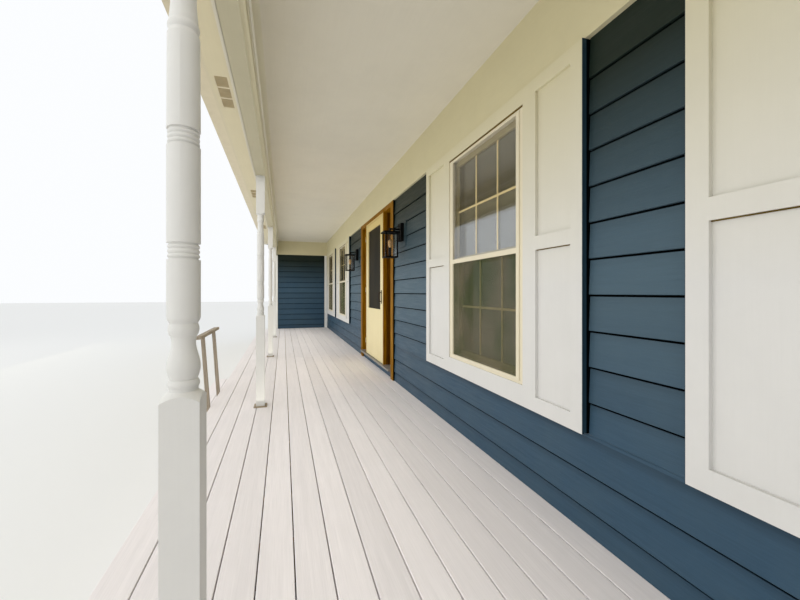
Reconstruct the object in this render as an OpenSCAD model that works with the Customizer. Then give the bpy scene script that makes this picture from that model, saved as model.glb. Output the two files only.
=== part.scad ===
// Covered front porch of a timber house, in millimetres.
// The outer side of the porch is towards -Y, the house is towards +Y and the ground is Z = 0.
// The origin is on the ground, in the middle of the footprint of the whole part.
// Modules work from the outer face of the end wall (x = 0) and the face of the house wall (y = 0),
// and place() moves the finished piece to the origin.

/* [Deck] */
// Height of the deck's walking surface above the ground
deck_h = 360; // [320:10:600]
// Number of boards side by side from the house to the outer edge
deck_boards = 14; // [13:1:16]
// Width of one deck board
board_w = 139.7; // [138:0.1:142]
// Gap between two deck boards
board_gap = 5; // [3:1:8]
// Thickness of a deck board
board_t = 25; // [20:1:32]
// Length of deck beyond the corner post
deck_end = 150; // [120:10:300]
// Depth of the joists under the boards
joist_d = 184; // [140:1:200]
// Thickness of a joist
joist_t = 38; // [30:1:50]
// Spacing of the joists
joist_gap = 406; // [300:1:600]
// Side of a square concrete pier
pier_w = 300; // [250:10:350]
// Thickness of the skirt boards around the deck
skirt_t = 19; // [15:1:25]
// Overhang of the deck boards past the skirt
deck_nosing = 25; // [20:1:40]

/* [Step] */
// Length of the step in front of the entry
step_l = 2500; // [1800:50:2800]
// Depth of the step from the skirt to its nosing
step_d = 305; // [280:5:340]
// Distance from the middle of the entry to the middle of the step
step_from_entry = 659; // [400:1:800]
// Thickness of the riser and the side boards of the step
riser_t = 25; // [20:1:38]
// Overhang of the step's boards past its riser
step_nosing = 20; // [10:1:30]

/* [Handrail] */
// Length of the rail
rail_l = 1030; // [900:10:1200]
// Width of the rail
rail_w = 56; // [45:1:80]
// Thickness of the rail
rail_t = 28; // [20:1:40]
// Height of the rail's top above the deck
rail_h = 700; // [600:10:1000]
// Spacing of the two rail posts
rail_posts = 600; // [500:10:700]
// Distance from the middle of the entry to the middle of the rail
rail_from_entry = 1184; // [900:1:1300]
// Width of a rail post at its foot
rail_foot_w = 46; // [38:1:60]
// Width of a rail post under the rail
rail_top_w = 32; // [25:1:38]
// Outward lean of the rail in degrees
rail_lean = 4; // [0:0.5:5]

/* [Posts] */
// Side of the square blocks of a turned post
post_w = 78; // [75:1:100]
// Number of posts
posts = 5; // [5:1:5]
// Distance between two posts
bay = 3000; // [2950:10:3200]
// Distance from the end wall's face to the first post
last_bay = 2265; // [2100:5:2500]
// Distance from the house wall to the middle of the posts
post_out = 1556; // [1450:1:1600]
// Height of the posts, from the deck to the beam
post_h = 2240; // [2200:5:2400]
// Height of the lower square block
block_low = 893; // [800:1:920]
// Length of the upper square block
block_top = 379; // [340:1:420]
// Side of the base plate
plate_w = 120; // [110:1:140]
// Thickness of the base plate
plate_t = 10; // [6:1:14]

/* [Roof] */
// Width of the beam on the posts
beam_w = 88; // [85:1:110]
// Height of the porch ceiling above the deck
ceiling_h = 2680; // [2660:5:2800]
// Thickness of the ceiling and soffit panels
panel_t = 10; // [8:1:14]
// Slope of the roof in degrees
roof_pitch = 18.4; // [16:0.1:20]
// Level overhang from the beam to the fascia
eave = 222; // [200:1:260]
// Overhang of the roof past the gable
rake = 200; // [160:5:240]
// Depth of a rafter
rafter_d = 140; // [120:1:184]
// Thickness of a rafter
rafter_t = 38; // [30:1:50]
// Largest distance between two rafters
rafter_gap = 610; // [400:1:800]
// Thickness of the roof boarding
sheathing_t = 12; // [10:1:20]
// Thickness of the shingles
shingle_t = 10; // [8:1:14]
// Thickness of the fascia and the rake board
fascia_t = 19; // [15:1:25]
// Width of the gutter's flat bottom
gutter_w = 90; // [75:1:100]
// Width that the gutter's front leans out
gutter_flare = 30; // [20:1:40]
// Height of the gutter
gutter_h = 115; // [100:1:120]
// Thickness of the gutter's sheet as modelled
gutter_t = 3; // [2:0.5:4]
// Length of one soffit vent
vent_l = 468; // [400:1:500]
// Width of one soffit vent
vent_w = 92; // [60:1:100]
// Distance from a post to the middle of the vent beyond it
vent_at = 890; // [600:10:1200]
// Distance from the beam to the middle of a vent
vent_out = 154; // [100:1:160]
// Depth of the vent's grille in the soffit
vent_set = 2; // [1:0.5:3]
// Thickness of the vent's grille
vent_t = 4; // [3:0.5:5]
// Side of the moulding between beam and ceiling
crown = 45; // [35:1:60]

/* [House wall] */
// Thickness of the house wall and of the end wall
wall_t = 165; // [140:1:200]
// Width of the corner boards
corner_w = 96; // [85:1:120]
// Thickness of corner boards, frieze and other wall trim
trim_t = 29; // [24:1:33]

/* [Windows] */
// Width of a window opening
window_w = 1000; // [900:10:1040]
// Height of a window opening
window_h = 1599; // [1500:1:1630]
// Height of the window opening's lower edge above the deck
window_at = 581; // [560:1:600]
// Width of the flat casing beside a window
casing_w = 39; // [30:1:60]
// Height of the casing over a window, up to the frieze
head_casing = 88; // [60:1:100]
// Height of the lower edge of casing and panels above the deck
surround_at = 462; // [420:1:480]
// Width of the side panel between a window and the end wall
side_far_w = 481; // [450:1:520]
// Width of the side panel on the window's other side
side_near_w = 409; // [380:1:420]
// Thickness of the casings and side panels around a window
unit_t = 45; // [36:1:50]
// Width of a side panel's stiles and rails
stile_w = 74; // [65:1:90]
// Depth of the recess in a side panel
side_recess = 16; // [8:1:18]
// Height of the side panel's middle rail above the deck
mid_rail_at = 1339; // [1250:1:1400]
// Wall siding between the end wall's corner board and the first window surround
siding_corner = 156; // [100:1:200]
// Wall siding between the entry and the nearest window surround
siding_entry = 1200; // [1150:5:1230]
// Wall siding between the two window surrounds beyond the entry from the end wall
siding_open = 466; // [430:1:600]
// Wall siding between the two window surrounds next to the end wall
siding_end = 268; // [220:1:400]
// Depth of a window's frame in the wall
frame_d = 71; // [70:1:100]
// Thickness of a window's frame
frame_t = 22; // [18:1:26]
// Distance that a window's frame stands out of the wall's face
frame_lip = 29; // [24:1:30]
// Width of a sash's stiles and rails
sash_w = 42; // [35:1:50]
// Thickness of a sash
sash_t = 32; // [28:1:36]
// Width of a storm window's fixed frame at its sides
storm_side = 37; // [30:1:45]
// Height of a storm window's fixed frame at its head and foot
storm_head = 18; // [12:1:24]
// Width of the stiles in a storm window
storm_stile = 30; // [20:1:36]
// Height of the top and bottom rails in a storm window
storm_rail = 16; // [12:1:24]
// Height of the rail between a storm window's glass and its insect screen
storm_meeting = 32; // [24:1:40]
// Thickness of a storm window's stiles and rails
storm_t = 15; // [10:1:16]
// Distance of a storm window's fixed frame behind its stiles
storm_step = 6; // [3:1:8]
// Thickness of a storm window's glass
storm_glass_t = 3; // [2:1:4]
// Thickness of the glass
glass_t = 6; // [4:1:10]

/* [Entry] */
// Width of the opening in the wall for the whole entry
entry_w = 1849; // [1820:1:1880]
// Width of the stained casing around the entry
entry_casing = 120; // [110:1:140]
// Height of the stained casing over the entry's opening, up to the frieze
entry_head = 64; // [50:1:70]
// Height of the threshold's top above the deck
threshold_h = 120; // [100:5:150]
// Thickness of the stained lining, posts and head
lining_t = 22; // [18:1:26]
// Width of the stained posts beside the door
mullion_w = 50; // [45:1:60]
// Depth of the stained side panels behind the wall's face
entry_recess = 115; // [90:1:125]
// Width of the painted frame around the door leaf
door_frame_w = 52; // [45:1:60]
// Width of the door leaf
leaf_w = 1040; // [960:5:1060]
// Thickness of the door leaf
leaf_t = 34; // [30:1:40]
// Distance from the head of the entry's opening down to the leaf's top
leaf_drop = 28; // [24:1:44]
// Gap around the door leaf
leaf_gap = 6; // [6:0.5:8]
// Width of the leaf's stiles
leaf_stile = 128; // [100:1:140]
// Width of the leaf's top rail
leaf_rail = 100; // [80:1:120]
// Height of the leaf's solid lower part
leaf_panel = 740; // [600:5:900]
// Depth of the leaf's glass behind the leaf's face
leaf_glass_in = 14; // [8:1:20]
// Height of the handle's middle above the leaf's lower edge
handle_at = 920; // [850:10:1000]
// Length of the handle's bar
handle_l = 150; // [120:5:180]
// Distance from the leaf's face to the middle of the handle's bar
handle_out = 36; // [32:1:45]
// Radius of a hinge's barrel
barrel_r = 8; // [7:0.5:10]
// Radius of a hinge's pin
pin_r = 4; // [3:0.5:5]
// Length of a hinge's knuckle
knuckle_l = 40; // [30:1:50]
// Width of a hinge's plate
hinge_w = 35; // [30:1:40]
// Thickness of a hinge's plate
hinge_t = 3; // [2:0.5:4]

/* [Lanterns] */
// Distance from the middle of the entry to the middle of a lantern
lantern_from_entry = 1375; // [1350:5:1400]
// Width of a lantern's body
lantern_w = 150; // [130:1:160]
// Height of a lantern's body
lantern_h = 300; // [260:5:320]
// Height of a lantern body's lower edge above the deck
lantern_at = 1508; // [1450:1:1550]
// Distance from the wall to the middle of a lantern
lantern_out = 165; // [155:1:200]
// Width of the wall plate
wall_plate_w = 120; // [100:1:130]
// Height of the wall plate
wall_plate_h = 205; // [180:1:220]
// Thickness of the wall plate
wall_plate_t = 38; // [30:1:45]
// Height of the wall plate's middle above the deck
wall_plate_at = 1805; // [1750:1:1850]
// Side of the lantern's corner bars
lantern_bar = 14; // [8:1:18]
// Width of the block behind a lantern
block_w = 250; // [200:5:280]
// Height of the block behind a lantern
block_h = 290; // [260:5:300]
// Thickness of the block behind a lantern
block_t = 18; // [14:1:24]
// Distance of the block's middle below the wall plate's middle
block_drop = 20; // [0:1:40]
// Thickness of the lantern's arm
arm_t = 18; // [14:1:22]
// Height of the lantern's arm above its body
arm_up = 34; // [25:1:45]
// Overhang of the lantern's cap past its body
cap_over = 14; // [8:1:20]
// Thickness of the lantern's cap
cap_t = 16; // [12:1:20]
// Thickness of the lantern's floor
lantern_floor_t = 14; // [10:1:18]
// Thickness of the lantern's glass
lantern_glass_t = 3; // [3:0.5:4]

/* [Hidden] */
$fn = 48;

// Deck
deck_d = deck_boards * (board_w + board_gap) - board_gap;
frame_top = deck_h - board_t;
skirt_y = -deck_d + deck_nosing;
frame_y = skirt_y + skirt_t;

// Post and beam lines, along x from the outer face of the end wall
face_x = wall_t;
post_x = [for (i = [0 : posts - 1]) face_x + last_bay + i * bay];
corner_x = post_x[posts - 1];
gable_x = corner_x + beam_w / 2;
deck_x = corner_x + post_w / 2 + deck_end;
post_y = -post_out;
beam_in = post_y + beam_w / 2;
beam_out = post_y - beam_w / 2;
beam_z = deck_h + post_h;
ceiling_z = deck_h + ceiling_h;

// Running gap between a seated piece and its seat
seat = 0.3;

// Bulge of a turned bead
bead_r = 3;

// Roof: the rafters' underside meets the ceiling panel's top at the beam's inner face
slope = tan(roof_pitch);
rafter_v = rafter_d / cos(roof_pitch);
function under_roof(y) = ceiling_z + panel_t + (y - beam_in) * slope;
eave_y = beam_out - eave;
soffit_top = under_roof(eave_y);
soffit_z = soffit_top - panel_t;
fascia_y = eave_y - fascia_t;
gutter_out = fascia_y - gutter_w - gutter_flare;
roof_x = gable_x + rake;
shingle_over = 13;
total_l = roof_x + fascia_t + shingle_over;
step_y = skirt_y - step_d;
gutter_z = soffit_z + 5;
gutter_lean_z = gutter_z + gutter_h * 0.35;

// Gap between two sloping layers that lie on each other, and the top of what carries the rafters
layer_gap = 0.05;
function bearing(y) = under_roof(y) - layer_gap;

// Windows and entry along x, one after the other from the end wall
unit_w = window_w + 2 * casing_w + side_far_w + side_near_w;
window_in = side_far_w + casing_w + window_w / 2;
window_out = side_near_w + casing_w + window_w / 2;
entry_out = entry_w / 2 + entry_casing - lining_t;
far_2 = face_x + trim_t + siding_corner + window_in;
far_1 = far_2 + unit_w + siding_end;
entry_x = far_1 + window_out + siding_entry + entry_out;
near_1 = entry_x + entry_out + siding_entry + window_in;
near_2 = near_1 + unit_w + siding_open;
window_x = [far_2, far_1, near_1, near_2];
window_z = deck_h + window_at;
surround_z = deck_h + surround_at;
frieze_z = window_z + window_h + head_casing;
step_x = entry_x + step_from_entry;
entry_lo = entry_x - entry_w / 2;
entry_hi = entry_x + entry_w / 2;
entry_top = frieze_z - entry_head;
sill_z = deck_h + threshold_h;
door_half = leaf_w / 2 + leaf_gap + door_frame_w;

// Sashes: the upper one runs in the outer track and the lower one in the inner track
inner_track = frame_d - sash_t - 4;
outer_track = inner_track - sash_t - 2;
sash_top = window_z + window_h - frame_t;
sash_low = window_z + frame_t;
meeting_z = window_z + window_h / 2 - 10;
storm_z = meeting_z - storm_meeting;

// Door leaf, hinged at its end towards the end wall
leaf_lo = entry_x - leaf_w / 2;
leaf_hi = entry_x + leaf_w / 2;
leaf_z = sill_z + leaf_gap;
leaf_top = entry_top - leaf_drop;
leaf_front = -leaf_t;
hinge_x = leaf_lo - leaf_gap / 2;
hinge_y = leaf_front - barrel_r - seat;
hinge_zs = [for (part = [0.1, 0.5, 0.9]) leaf_z + part * (leaf_top - leaf_z)];
pin_clear = 0.1;

// Lanterns
lantern_x = [entry_x - lantern_from_entry, entry_x + lantern_from_entry];
lantern_low = deck_h + lantern_at;
lantern_top = lantern_low + lantern_h;
wall_plate_z = deck_h + wall_plate_at;

// Moves a piece from the wall corner to the middle of the footprint
module place() {
    translate([-total_l / 2, -(step_y + wall_t) / 2, 0])
        children();
}

// Box from its lowest to its highest corner
module box(lo, hi) {
    translate(lo)
        cube(hi - lo);
}

// Outline given as [y, z] points, drawn out along x
module along_x(x_lo, x_hi, outline) {
    translate([x_lo, 0, 0])
        rotate([90, 0, 90])
            linear_extrude(height = x_hi - x_lo)
                polygon(outline);
}

// Outline given as [x, z] points, drawn out along y
module along_y(y_lo, y_hi, outline) {
    translate([0, y_hi, 0])
        rotate([90, 0, 0])
            linear_extrude(height = y_hi - y_lo)
                polygon(outline);
}

// Flat frame in the wall's plane with one opening
module wall_ring(lo, hi, open_lo, open_hi) {
    difference() {
        box(lo, hi);
        box([open_lo[0], lo[1] - 1, open_lo[1]], [open_hi[0], hi[1] + 1, open_hi[1]]);
    }
}

module deck_floor() {
    color("#ded6d0") place()
        box([face_x, -deck_d, frame_top], [deck_x, 0, deck_h]);
}

// Rim, ledger and joists nailed into one frame
module deck_frame() {
    frame_start = face_x + skirt_t;
    frame_end = deck_x - deck_nosing - skirt_t;
    joists = ceil((frame_end - frame_start - joist_t) / joist_gap);
    pitch = (frame_end - frame_start - joist_t) / joists;
    low = frame_top - joist_d;
    color("#a88d63") place() {
        box([frame_start, frame_y, low], [frame_end, frame_y + joist_t, frame_top]);
        box([frame_start, -joist_t, low], [frame_end, 0, frame_top]);
        for (i = [0 : joists])
            box([frame_start + i * pitch, frame_y, low], [frame_start + i * pitch + joist_t, 0, frame_top]);
    }
}

// One pier under the frame at each post
module deck_piers() {
    half = pier_w / 2;
    last = deck_x - deck_nosing - skirt_t - half;
    color("#9c9a94") place()
        for (post = post_x) {
            x = min(post, last);
            box([x - half, post_y - half, 0], [x + half, post_y + half, frame_top - joist_d]);
        }
}

module skirt_boards() {
    skirt_x = deck_x - deck_nosing;
    color("#d5cdc6") place() {
        box([face_x, skirt_y, 0], [skirt_x, frame_y, frame_top]);
        box([face_x, skirt_y, 0], [face_x + skirt_t, beam_out, frame_top]);
        box([skirt_x - skirt_t, skirt_y, 0], [skirt_x, 0, frame_top]);
    }
}

module step_tread() {
    x_lo = step_x - step_l / 2;
    top = deck_h / 2;
    color("#d5cdc6") place()
        box([x_lo, step_y, top - board_t], [x_lo + step_l, skirt_y, top]);
}

// Riser, two side boards and a middle bearer under the tread
module step_frame() {
    x_lo = step_x - step_l / 2 + step_nosing;
    x_hi = x_lo + step_l - 2 * step_nosing;
    riser_y = step_y + step_nosing;
    top = deck_h / 2 - board_t;
    color("#c9c1ba") place() {
        box([x_lo, riser_y, 0], [x_hi, riser_y + riser_t, top]);
        for (x = [x_lo, (x_lo + x_hi - riser_t) / 2, x_hi - riser_t])
            box([x, riser_y, 0], [x + riser_t, skirt_y, top]);
    }
}

// Level rail on two leaning posts that stand on the step against the skirt
module handrail() {
    foot = deck_h / 2;
    top = deck_h + rail_h;
    length = (top - foot) / cos(rail_lean);
    rail_mid = entry_x + rail_from_entry;
    spare = 20;
    color("#a89c8c") place()
        intersection() {
            translate([rail_mid, -deck_d, foot])
                rotate([rail_lean, 0, 0])
                    union() {
                        for (side = [-1, 1])
                            translate([side * rail_posts / 2, 0, 0])
                                along_y(-rail_top_w, 0, [
                                    [-rail_foot_w / 2, -spare],
                                    [rail_foot_w / 2, -spare],
                                    [rail_top_w / 2, length - rail_t],
                                    [-rail_top_w / 2, length - rail_t]
                                ]);
                        translate([-rail_l / 2, -(rail_top_w + rail_w) / 2, length - rail_t])
                            cube([rail_l, rail_w, rail_t]);
                    }
            box([rail_mid - rail_l, -deck_d - step_d, foot], [rail_mid + rail_l, -deck_d, top + rail_t]);
        }
}

// Points of a bead or a hollow from one radius to another, as [radius, height]
function curve(z_lo, r_lo, z_hi, r_hi, bulge, steps = 6) = [
    for (i = [0 : steps])
        let (t = i / steps)
            [r_lo + (r_hi - r_lo) * t + bulge * sin(180 * t), z_lo + (z_hi - z_lo) * t]
];

// Row of beads on a turned post, one above the other
function beads(heights, r) = [
    for (i = [0 : len(heights) - 2])
        each curve(heights[i], r, heights[i + 1], r, bead_r)
];

// Smooth change from one radius to another that starts square to the axis or in line with it
function ease(z_lo, r_lo, z_hi, r_hi, from, to, steps = 6) = [
    for (i = [0 : steps])
        let (share = (sin(from + (to - from) * i / steps) - sin(from)) / (sin(to) - sin(from)))
            [r_lo + (r_hi - r_lo) * share, z_lo + (z_hi - z_lo) * i / steps]
];

// Turned part of a post between its square blocks, in heights measured on a post of standard size
module turning() {
    low = 893;
    high = 1861;
    stretch = (post_h - block_top - block_low) / (high - low);
    neck = post_w * 0.308;
    drum = post_w * 0.432;
    collar = post_w * 0.37;
    groove = post_w * 0.375;
    core = neck * 1.2;
    spare = 20;
    outline = concat(
        [[0, low - spare], [core, low - spare]],
        [[groove, low]],
        beads([899, 917], groove),
        ease(918, post_w * 0.353, 944, drum, 0, 90),
        ease(944, drum, 999, neck, -90, 90, 10),
        ease(999, neck, 1014, post_w * 0.34, -90, 0, 4),
        beads([1015, 1041], post_w * 0.36),
        ease(1043, groove, 1056, drum, 0, 90, 4),
        [[drum, 1181], [groove, 1181]],
        beads([1184, 1194, 1205, 1215], groove),
        [[groove, 1218], [drum, 1218]],
        [[drum, 1431], [groove, 1431]],
        beads([1434, 1444, 1455, 1465], groove),
        [[groove, 1468], [drum, 1468], [drum * 0.97, 1675]],
        beads([1685, 1705], groove),
        curve(1710, groove, 1790, neck * 1.1, -2),
        beads([1795, 1825], collar),
        [[core, 1828], [collar, 1832], [collar, 1853]],
        [[core, high + spare], [0, high + spare]]
    );
    rotate_extrude()
        polygon([for (point = outline) [point[0], block_low + (point[1] - low) * stretch]]);
}

// Square block whose corners are turned off towards one end
module block(z_lo, z_hi, turned_up) {
    r_corner = post_w * 0.72;
    r_end = post_w * 0.38;
    cut = 21;
    bevel = turned_up ?
        [[0, z_lo], [r_corner, z_lo], [r_corner, z_hi - cut], [r_end, z_hi], [0, z_hi]] :
        [[0, z_lo], [r_end, z_lo], [r_corner, z_lo + cut], [r_corner, z_hi], [0, z_hi]];
    intersection() {
        box([-post_w / 2, -post_w / 2, z_lo], [post_w / 2, post_w / 2, z_hi]);
        rotate_extrude()
            polygon(bevel);
    }
}

module post(number) {
    color("#f2efe8") place()
        translate([post_x[number - 1], post_y, deck_h])
            union() {
                block(plate_t, block_low, true);
                turning();
                block(post_h - block_top, post_h, false);
            }
}

module post_base_plates() {
    half = plate_w / 2;
    color("#9a8f7c") place()
        for (x = post_x)
            box([x - half, post_y - half, deck_h], [x + half, post_y + half, deck_h + plate_t]);
}

module front_beam() {
    color("#efece2") place()
        along_x(face_x, gable_x, [
            [beam_out, beam_z],
            [beam_in, beam_z],
            [beam_in, bearing(beam_in)],
            [beam_out, bearing(beam_out)]
        ]);
}

// Beam from the corner post back to the house
module side_beam() {
    color("#efece2") place()
        box([corner_x - beam_w / 2, beam_in, beam_z], [gable_x, 0, ceiling_z + panel_t]);
}

// Moulding under the ceiling, along the inner faces of both beams
module crown_moulding() {
    x_hi = corner_x - beam_w / 2;
    low = ceiling_z - crown * 4;
    lip = crown / 4;
    color("#e6e2d6") place()
        along_x(face_x, x_hi, [
            [beam_in, low],
            [beam_in + lip, low],
            [beam_in + lip, ceiling_z - crown],
            [beam_in + crown, ceiling_z - lip],
            [beam_in + crown, ceiling_z],
            [beam_in, ceiling_z]
        ]);
}

module porch_ceiling() {
    color("#d8d2c4") place()
        box([face_x, beam_in, ceiling_z], [corner_x - beam_w / 2, 0, ceiling_z + panel_t]);
}

// One vent hole in each bay of the soffit
module vent_holes() {
    for (i = [0 : posts - 2]) {
        x = post_x[i] + vent_at;
        y = beam_out - vent_out;
        box([x - vent_l / 2, y - vent_w / 2, soffit_z - 1], [x + vent_l / 2, y + vent_w / 2, soffit_top + 1]);
    }
}

module soffit() {
    color("#e8e2d2") place()
        difference() {
            union() {
                box([face_x, eave_y, soffit_z], [gable_x, beam_out, soffit_top]);
                along_x(gable_x, roof_x, [
                    [eave_y, soffit_z],
                    [0, under_roof(0) - panel_t],
                    [0, bearing(0)],
                    [eave_y, bearing(eave_y)]
                ]);
            }
            vent_holes();
        }
}

module soffit_vents() {
    color("#dcd6c6") place()
        intersection() {
            vent_holes();
            box([face_x, eave_y, soffit_z + vent_set], [gable_x, beam_out, soffit_z + vent_set + vent_t]);
        }
}

// Front fascia, rake board at the gable end and the closings of the eave box
module fascia_boards() {
    color("#f0ede4") place() {
        top = under_roof(fascia_y) + rafter_v;
        box([0, fascia_y, soffit_z], [roof_x, eave_y, top]);
        along_x(roof_x, roof_x + fascia_t, [
            [fascia_y, soffit_z],
            [eave_y, soffit_z],
            [wall_t, under_roof(wall_t)],
            [wall_t, under_roof(wall_t) + rafter_v],
            [fascia_y, top]
        ]);
    }
}

// Open channel along the fascia with closed ends
module gutter() {
    low = gutter_z;
    high = low + gutter_h;
    spare = 1;
    outer = [
        [fascia_y, low],
        [fascia_y, high],
        [gutter_out, high],
        [fascia_y - gutter_w, gutter_lean_z],
        [fascia_y - gutter_w, low]
    ];
    inner = [
        [fascia_y - gutter_t, low + gutter_t],
        [fascia_y - gutter_t, high + spare],
        [gutter_out + gutter_t, high + spare],
        [fascia_y - gutter_w + gutter_t, gutter_lean_z],
        [fascia_y - gutter_w + gutter_t, low + gutter_t]
    ];
    color("#f3f1ea") place()
        difference() {
            along_x(0, roof_x + fascia_t, outer);
            along_x(gutter_t, roof_x + fascia_t - gutter_t, inner);
        }
}

// Rafters, with the board that closes them at the back of the house wall
module rafters() {
    last = corner_x - beam_w / 2 - rafter_t;
    count = ceil(last / rafter_gap);
    pitch = last / count;
    back = wall_t - rafter_t;
    rafter_x = concat([for (i = [0 : count]) i * pitch], [roof_x - rafter_t]);
    color("#b99a6b") place() {
        for (x = rafter_x)
            along_x(x, x + rafter_t, [
                [eave_y, under_roof(eave_y)],
                [back, under_roof(back)],
                [back, under_roof(back) + rafter_v],
                [eave_y, under_roof(eave_y) + rafter_v]
            ]);
        along_x(0, roof_x, [
            [back, under_roof(back)],
            [wall_t, under_roof(wall_t)],
            [wall_t, under_roof(wall_t) + rafter_v],
            [back, under_roof(back) + rafter_v]
        ]);
    }
}

// Sloping layer of the roof, from a height above the rafters' top
module roof_layer(x_hi, y_lo, above, thick) {
    low = rafter_v + above / cos(roof_pitch);
    high = low + thick / cos(roof_pitch);
    along_x(0, x_hi, [
        [y_lo, under_roof(y_lo) + low],
        [wall_t, under_roof(wall_t) + low],
        [wall_t, under_roof(wall_t) + high],
        [y_lo, under_roof(y_lo) + high]
    ]);
}

module roof_boarding() {
    color("#a98c61") place()
        roof_layer(roof_x + fascia_t, fascia_y, layer_gap, sheathing_t);
}

module roof_shingles() {
    color("#6d6a66") place()
        roof_layer(total_l, fascia_y - 2 * shingle_over, sheathing_t + 2 * layer_gap, shingle_t);
}

// Length of house wall with its top under the roof
module wall_length(x_lo, x_hi, z_lo) {
    along_x(x_lo, x_hi, [
        [0, z_lo],
        [wall_t, z_lo],
        [wall_t, bearing(wall_t)],
        [0, bearing(0)]
    ]);
}

module window_hole(x) {
    box([x - window_w / 2, -1, window_z], [x + window_w / 2, wall_t + 1, window_z + window_h]);
}

module house_wall_near() {
    color("#3c5569") place()
        difference() {
            wall_length(entry_hi, deck_x, 0);
            window_hole(near_1);
            window_hole(near_2);
        }
}

module house_wall_far() {
    color("#3c5569") place()
        difference() {
            wall_length(0, entry_lo, 0);
            window_hole(far_1);
            window_hole(far_2);
        }
}

module house_wall_over_door() {
    color("#3c5569") place()
        wall_length(entry_lo, entry_hi, entry_top + lining_t);
}

module house_wall_under_door() {
    color("#3c5569") place()
        box([entry_lo, 0, 0], [entry_hi, wall_t, sill_z - board_t]);
}

module end_wall() {
    color("#3c5569") place()
        along_x(0, wall_t, [
            [beam_out, 0],
            [0, 0],
            [0, bearing(0)],
            [eave_y, bearing(eave_y)],
            [eave_y, soffit_z],
            [beam_out, soffit_z]
        ]);
}

// Triangle between the side beam and the roof boarding, out to the eave
module gable_wall() {
    color("#3c5569") place()
        along_x(corner_x - beam_w / 2, gable_x, [
            [eave_y, soffit_top],
            [beam_out, soffit_top],
            [beam_out, under_roof(beam_out)],
            [beam_in, under_roof(beam_in)],
            [0, under_roof(beam_in)],
            [0, under_roof(0) + rafter_v],
            [eave_y, under_roof(eave_y) + rafter_v]
        ]);
}

// Corner boards on the end wall and at the open end of the house wall
module corner_boards() {
    color("#f2efe8") place() {
        box([face_x, beam_out, deck_h], [face_x + trim_t, beam_out + corner_w, beam_z]);
        box([face_x, -corner_w, deck_h], [face_x + trim_t, 0, frieze_z]);
        box([deck_x - corner_w, -trim_t, deck_h], [deck_x, 0, beam_z]);
    }
}

// Flat band between the window heads and the ceiling
module frieze_board() {
    color("#f2efe8") place() {
        box([face_x, -trim_t, frieze_z], [corner_x - beam_w / 2, 0, ceiling_z]);
        box([face_x, beam_in + crown, frieze_z], [face_x + trim_t, -trim_t, ceiling_z]);
    }
}

// Flat casing on the wall around each window
module window_casings() {
    color("#f2efe8") place()
        for (x = window_x)
            wall_ring(
                [x - window_w / 2 - casing_w, -unit_t, surround_z],
                [x + window_w / 2 + casing_w, 0, frieze_z],
                [x - window_w / 2, window_z],
                [x + window_w / 2, window_z + window_h]
            );
}

// Frame of each window, inside its casing and the hole in the wall
module window_frames() {
    color("#e9e4d4") place()
        for (x = window_x)
            wall_ring(
                [x - window_w / 2, -frame_lip, window_z],
                [x + window_w / 2, frame_d, window_z + window_h],
                [x - window_w / 2 + frame_t, window_z + frame_t],
                [x + window_w / 2 - frame_t, window_z + window_h - frame_t]
            );
}

// Panels beside each window, with two recessed fields
module window_side_panels() {
    field_lo = surround_z + stile_w + 6;
    field_hi = frieze_z - stile_w;
    mid_lo = deck_h + mid_rail_at;
    color("#f2efe8") place()
        for (x = window_x)
            for (side = [-1, 1]) {
                wide = side > 0 ? side_near_w : side_far_w;
                mid = x + side * (window_w / 2 + casing_w + wide / 2);
                difference() {
                    box([mid - wide / 2, -unit_t, surround_z], [mid + wide / 2, 0, frieze_z]);
                    for (z = [[field_lo, mid_lo], [mid_lo + stile_w, field_hi]])
                        box([mid - wide / 2 + stile_w, -unit_t - 1, z[0]],
                            [mid + wide / 2 - stile_w, -unit_t + side_recess, z[1]]);
                }
            }
}

// Outer window in front of each frame: fixed frame, and stiles and rails around glass and screen
module storm_windows() {
    back = -frame_lip;
    front = back - storm_t;
    color("#e9e4d4") place()
        for (x = window_x) {
            half = window_w / 2;
            inner = half - storm_side;
            low = window_z + storm_head;
            high = window_z + window_h - storm_head;
            wall_ring(
                [x - half, front + storm_step, window_z],
                [x + half, back, window_z + window_h],
                [x - inner, low],
                [x + inner, high]
            );
            wall_ring(
                [x - inner, front, low],
                [x + inner, back, high],
                [x - inner + storm_stile, low + storm_rail],
                [x + inner - storm_stile, high - storm_rail]
            );
            rail_half = inner - storm_stile;
            box([x - rail_half, front, storm_z], [x + rail_half, back, storm_z + storm_meeting]);
        }
}

// Sash in the wall, given by the middle of its window, its face and its height
module sash(x, y, z_lo, z_hi) {
    half = window_w / 2 - frame_t;
    wall_ring(
        [x - half, y, z_lo],
        [x + half, y + sash_t, z_hi],
        [x - half + sash_w, z_lo + sash_w],
        [x + half - sash_w, z_hi - sash_w]
    );
}

// Glass of the sash with the same values
module pane(x, y, z_lo, z_hi) {
    half = window_w / 2 - frame_t - sash_w;
    mid = y + sash_t / 2;
    box([x - half, mid - glass_t / 2, z_lo + sash_w], [x + half, mid + glass_t / 2, z_hi - sash_w]);
}

module window_sashes() {
    color("#e9e4d4") place()
        for (x = window_x) {
            sash(x, outer_track, meeting_z - sash_w / 2, sash_top);
            sash(x, inner_track, sash_low, meeting_z + sash_w / 2);
        }
}

module window_glass() {
    color("#9fb4bd", 0.5) place()
        for (x = window_x) {
            pane(x, outer_track, meeting_z - sash_w / 2, sash_top);
            pane(x, inner_track, sash_low, meeting_z + sash_w / 2);
            half = window_w / 2 - storm_side - storm_stile;
            front = -frame_lip - storm_t / 2 - storm_glass_t / 2;
            low = storm_z + storm_meeting;
            top = window_z + window_h - storm_head - storm_rail;
            box([x - half, front, low], [x + half, front + storm_glass_t, top]);
        }
}

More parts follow.
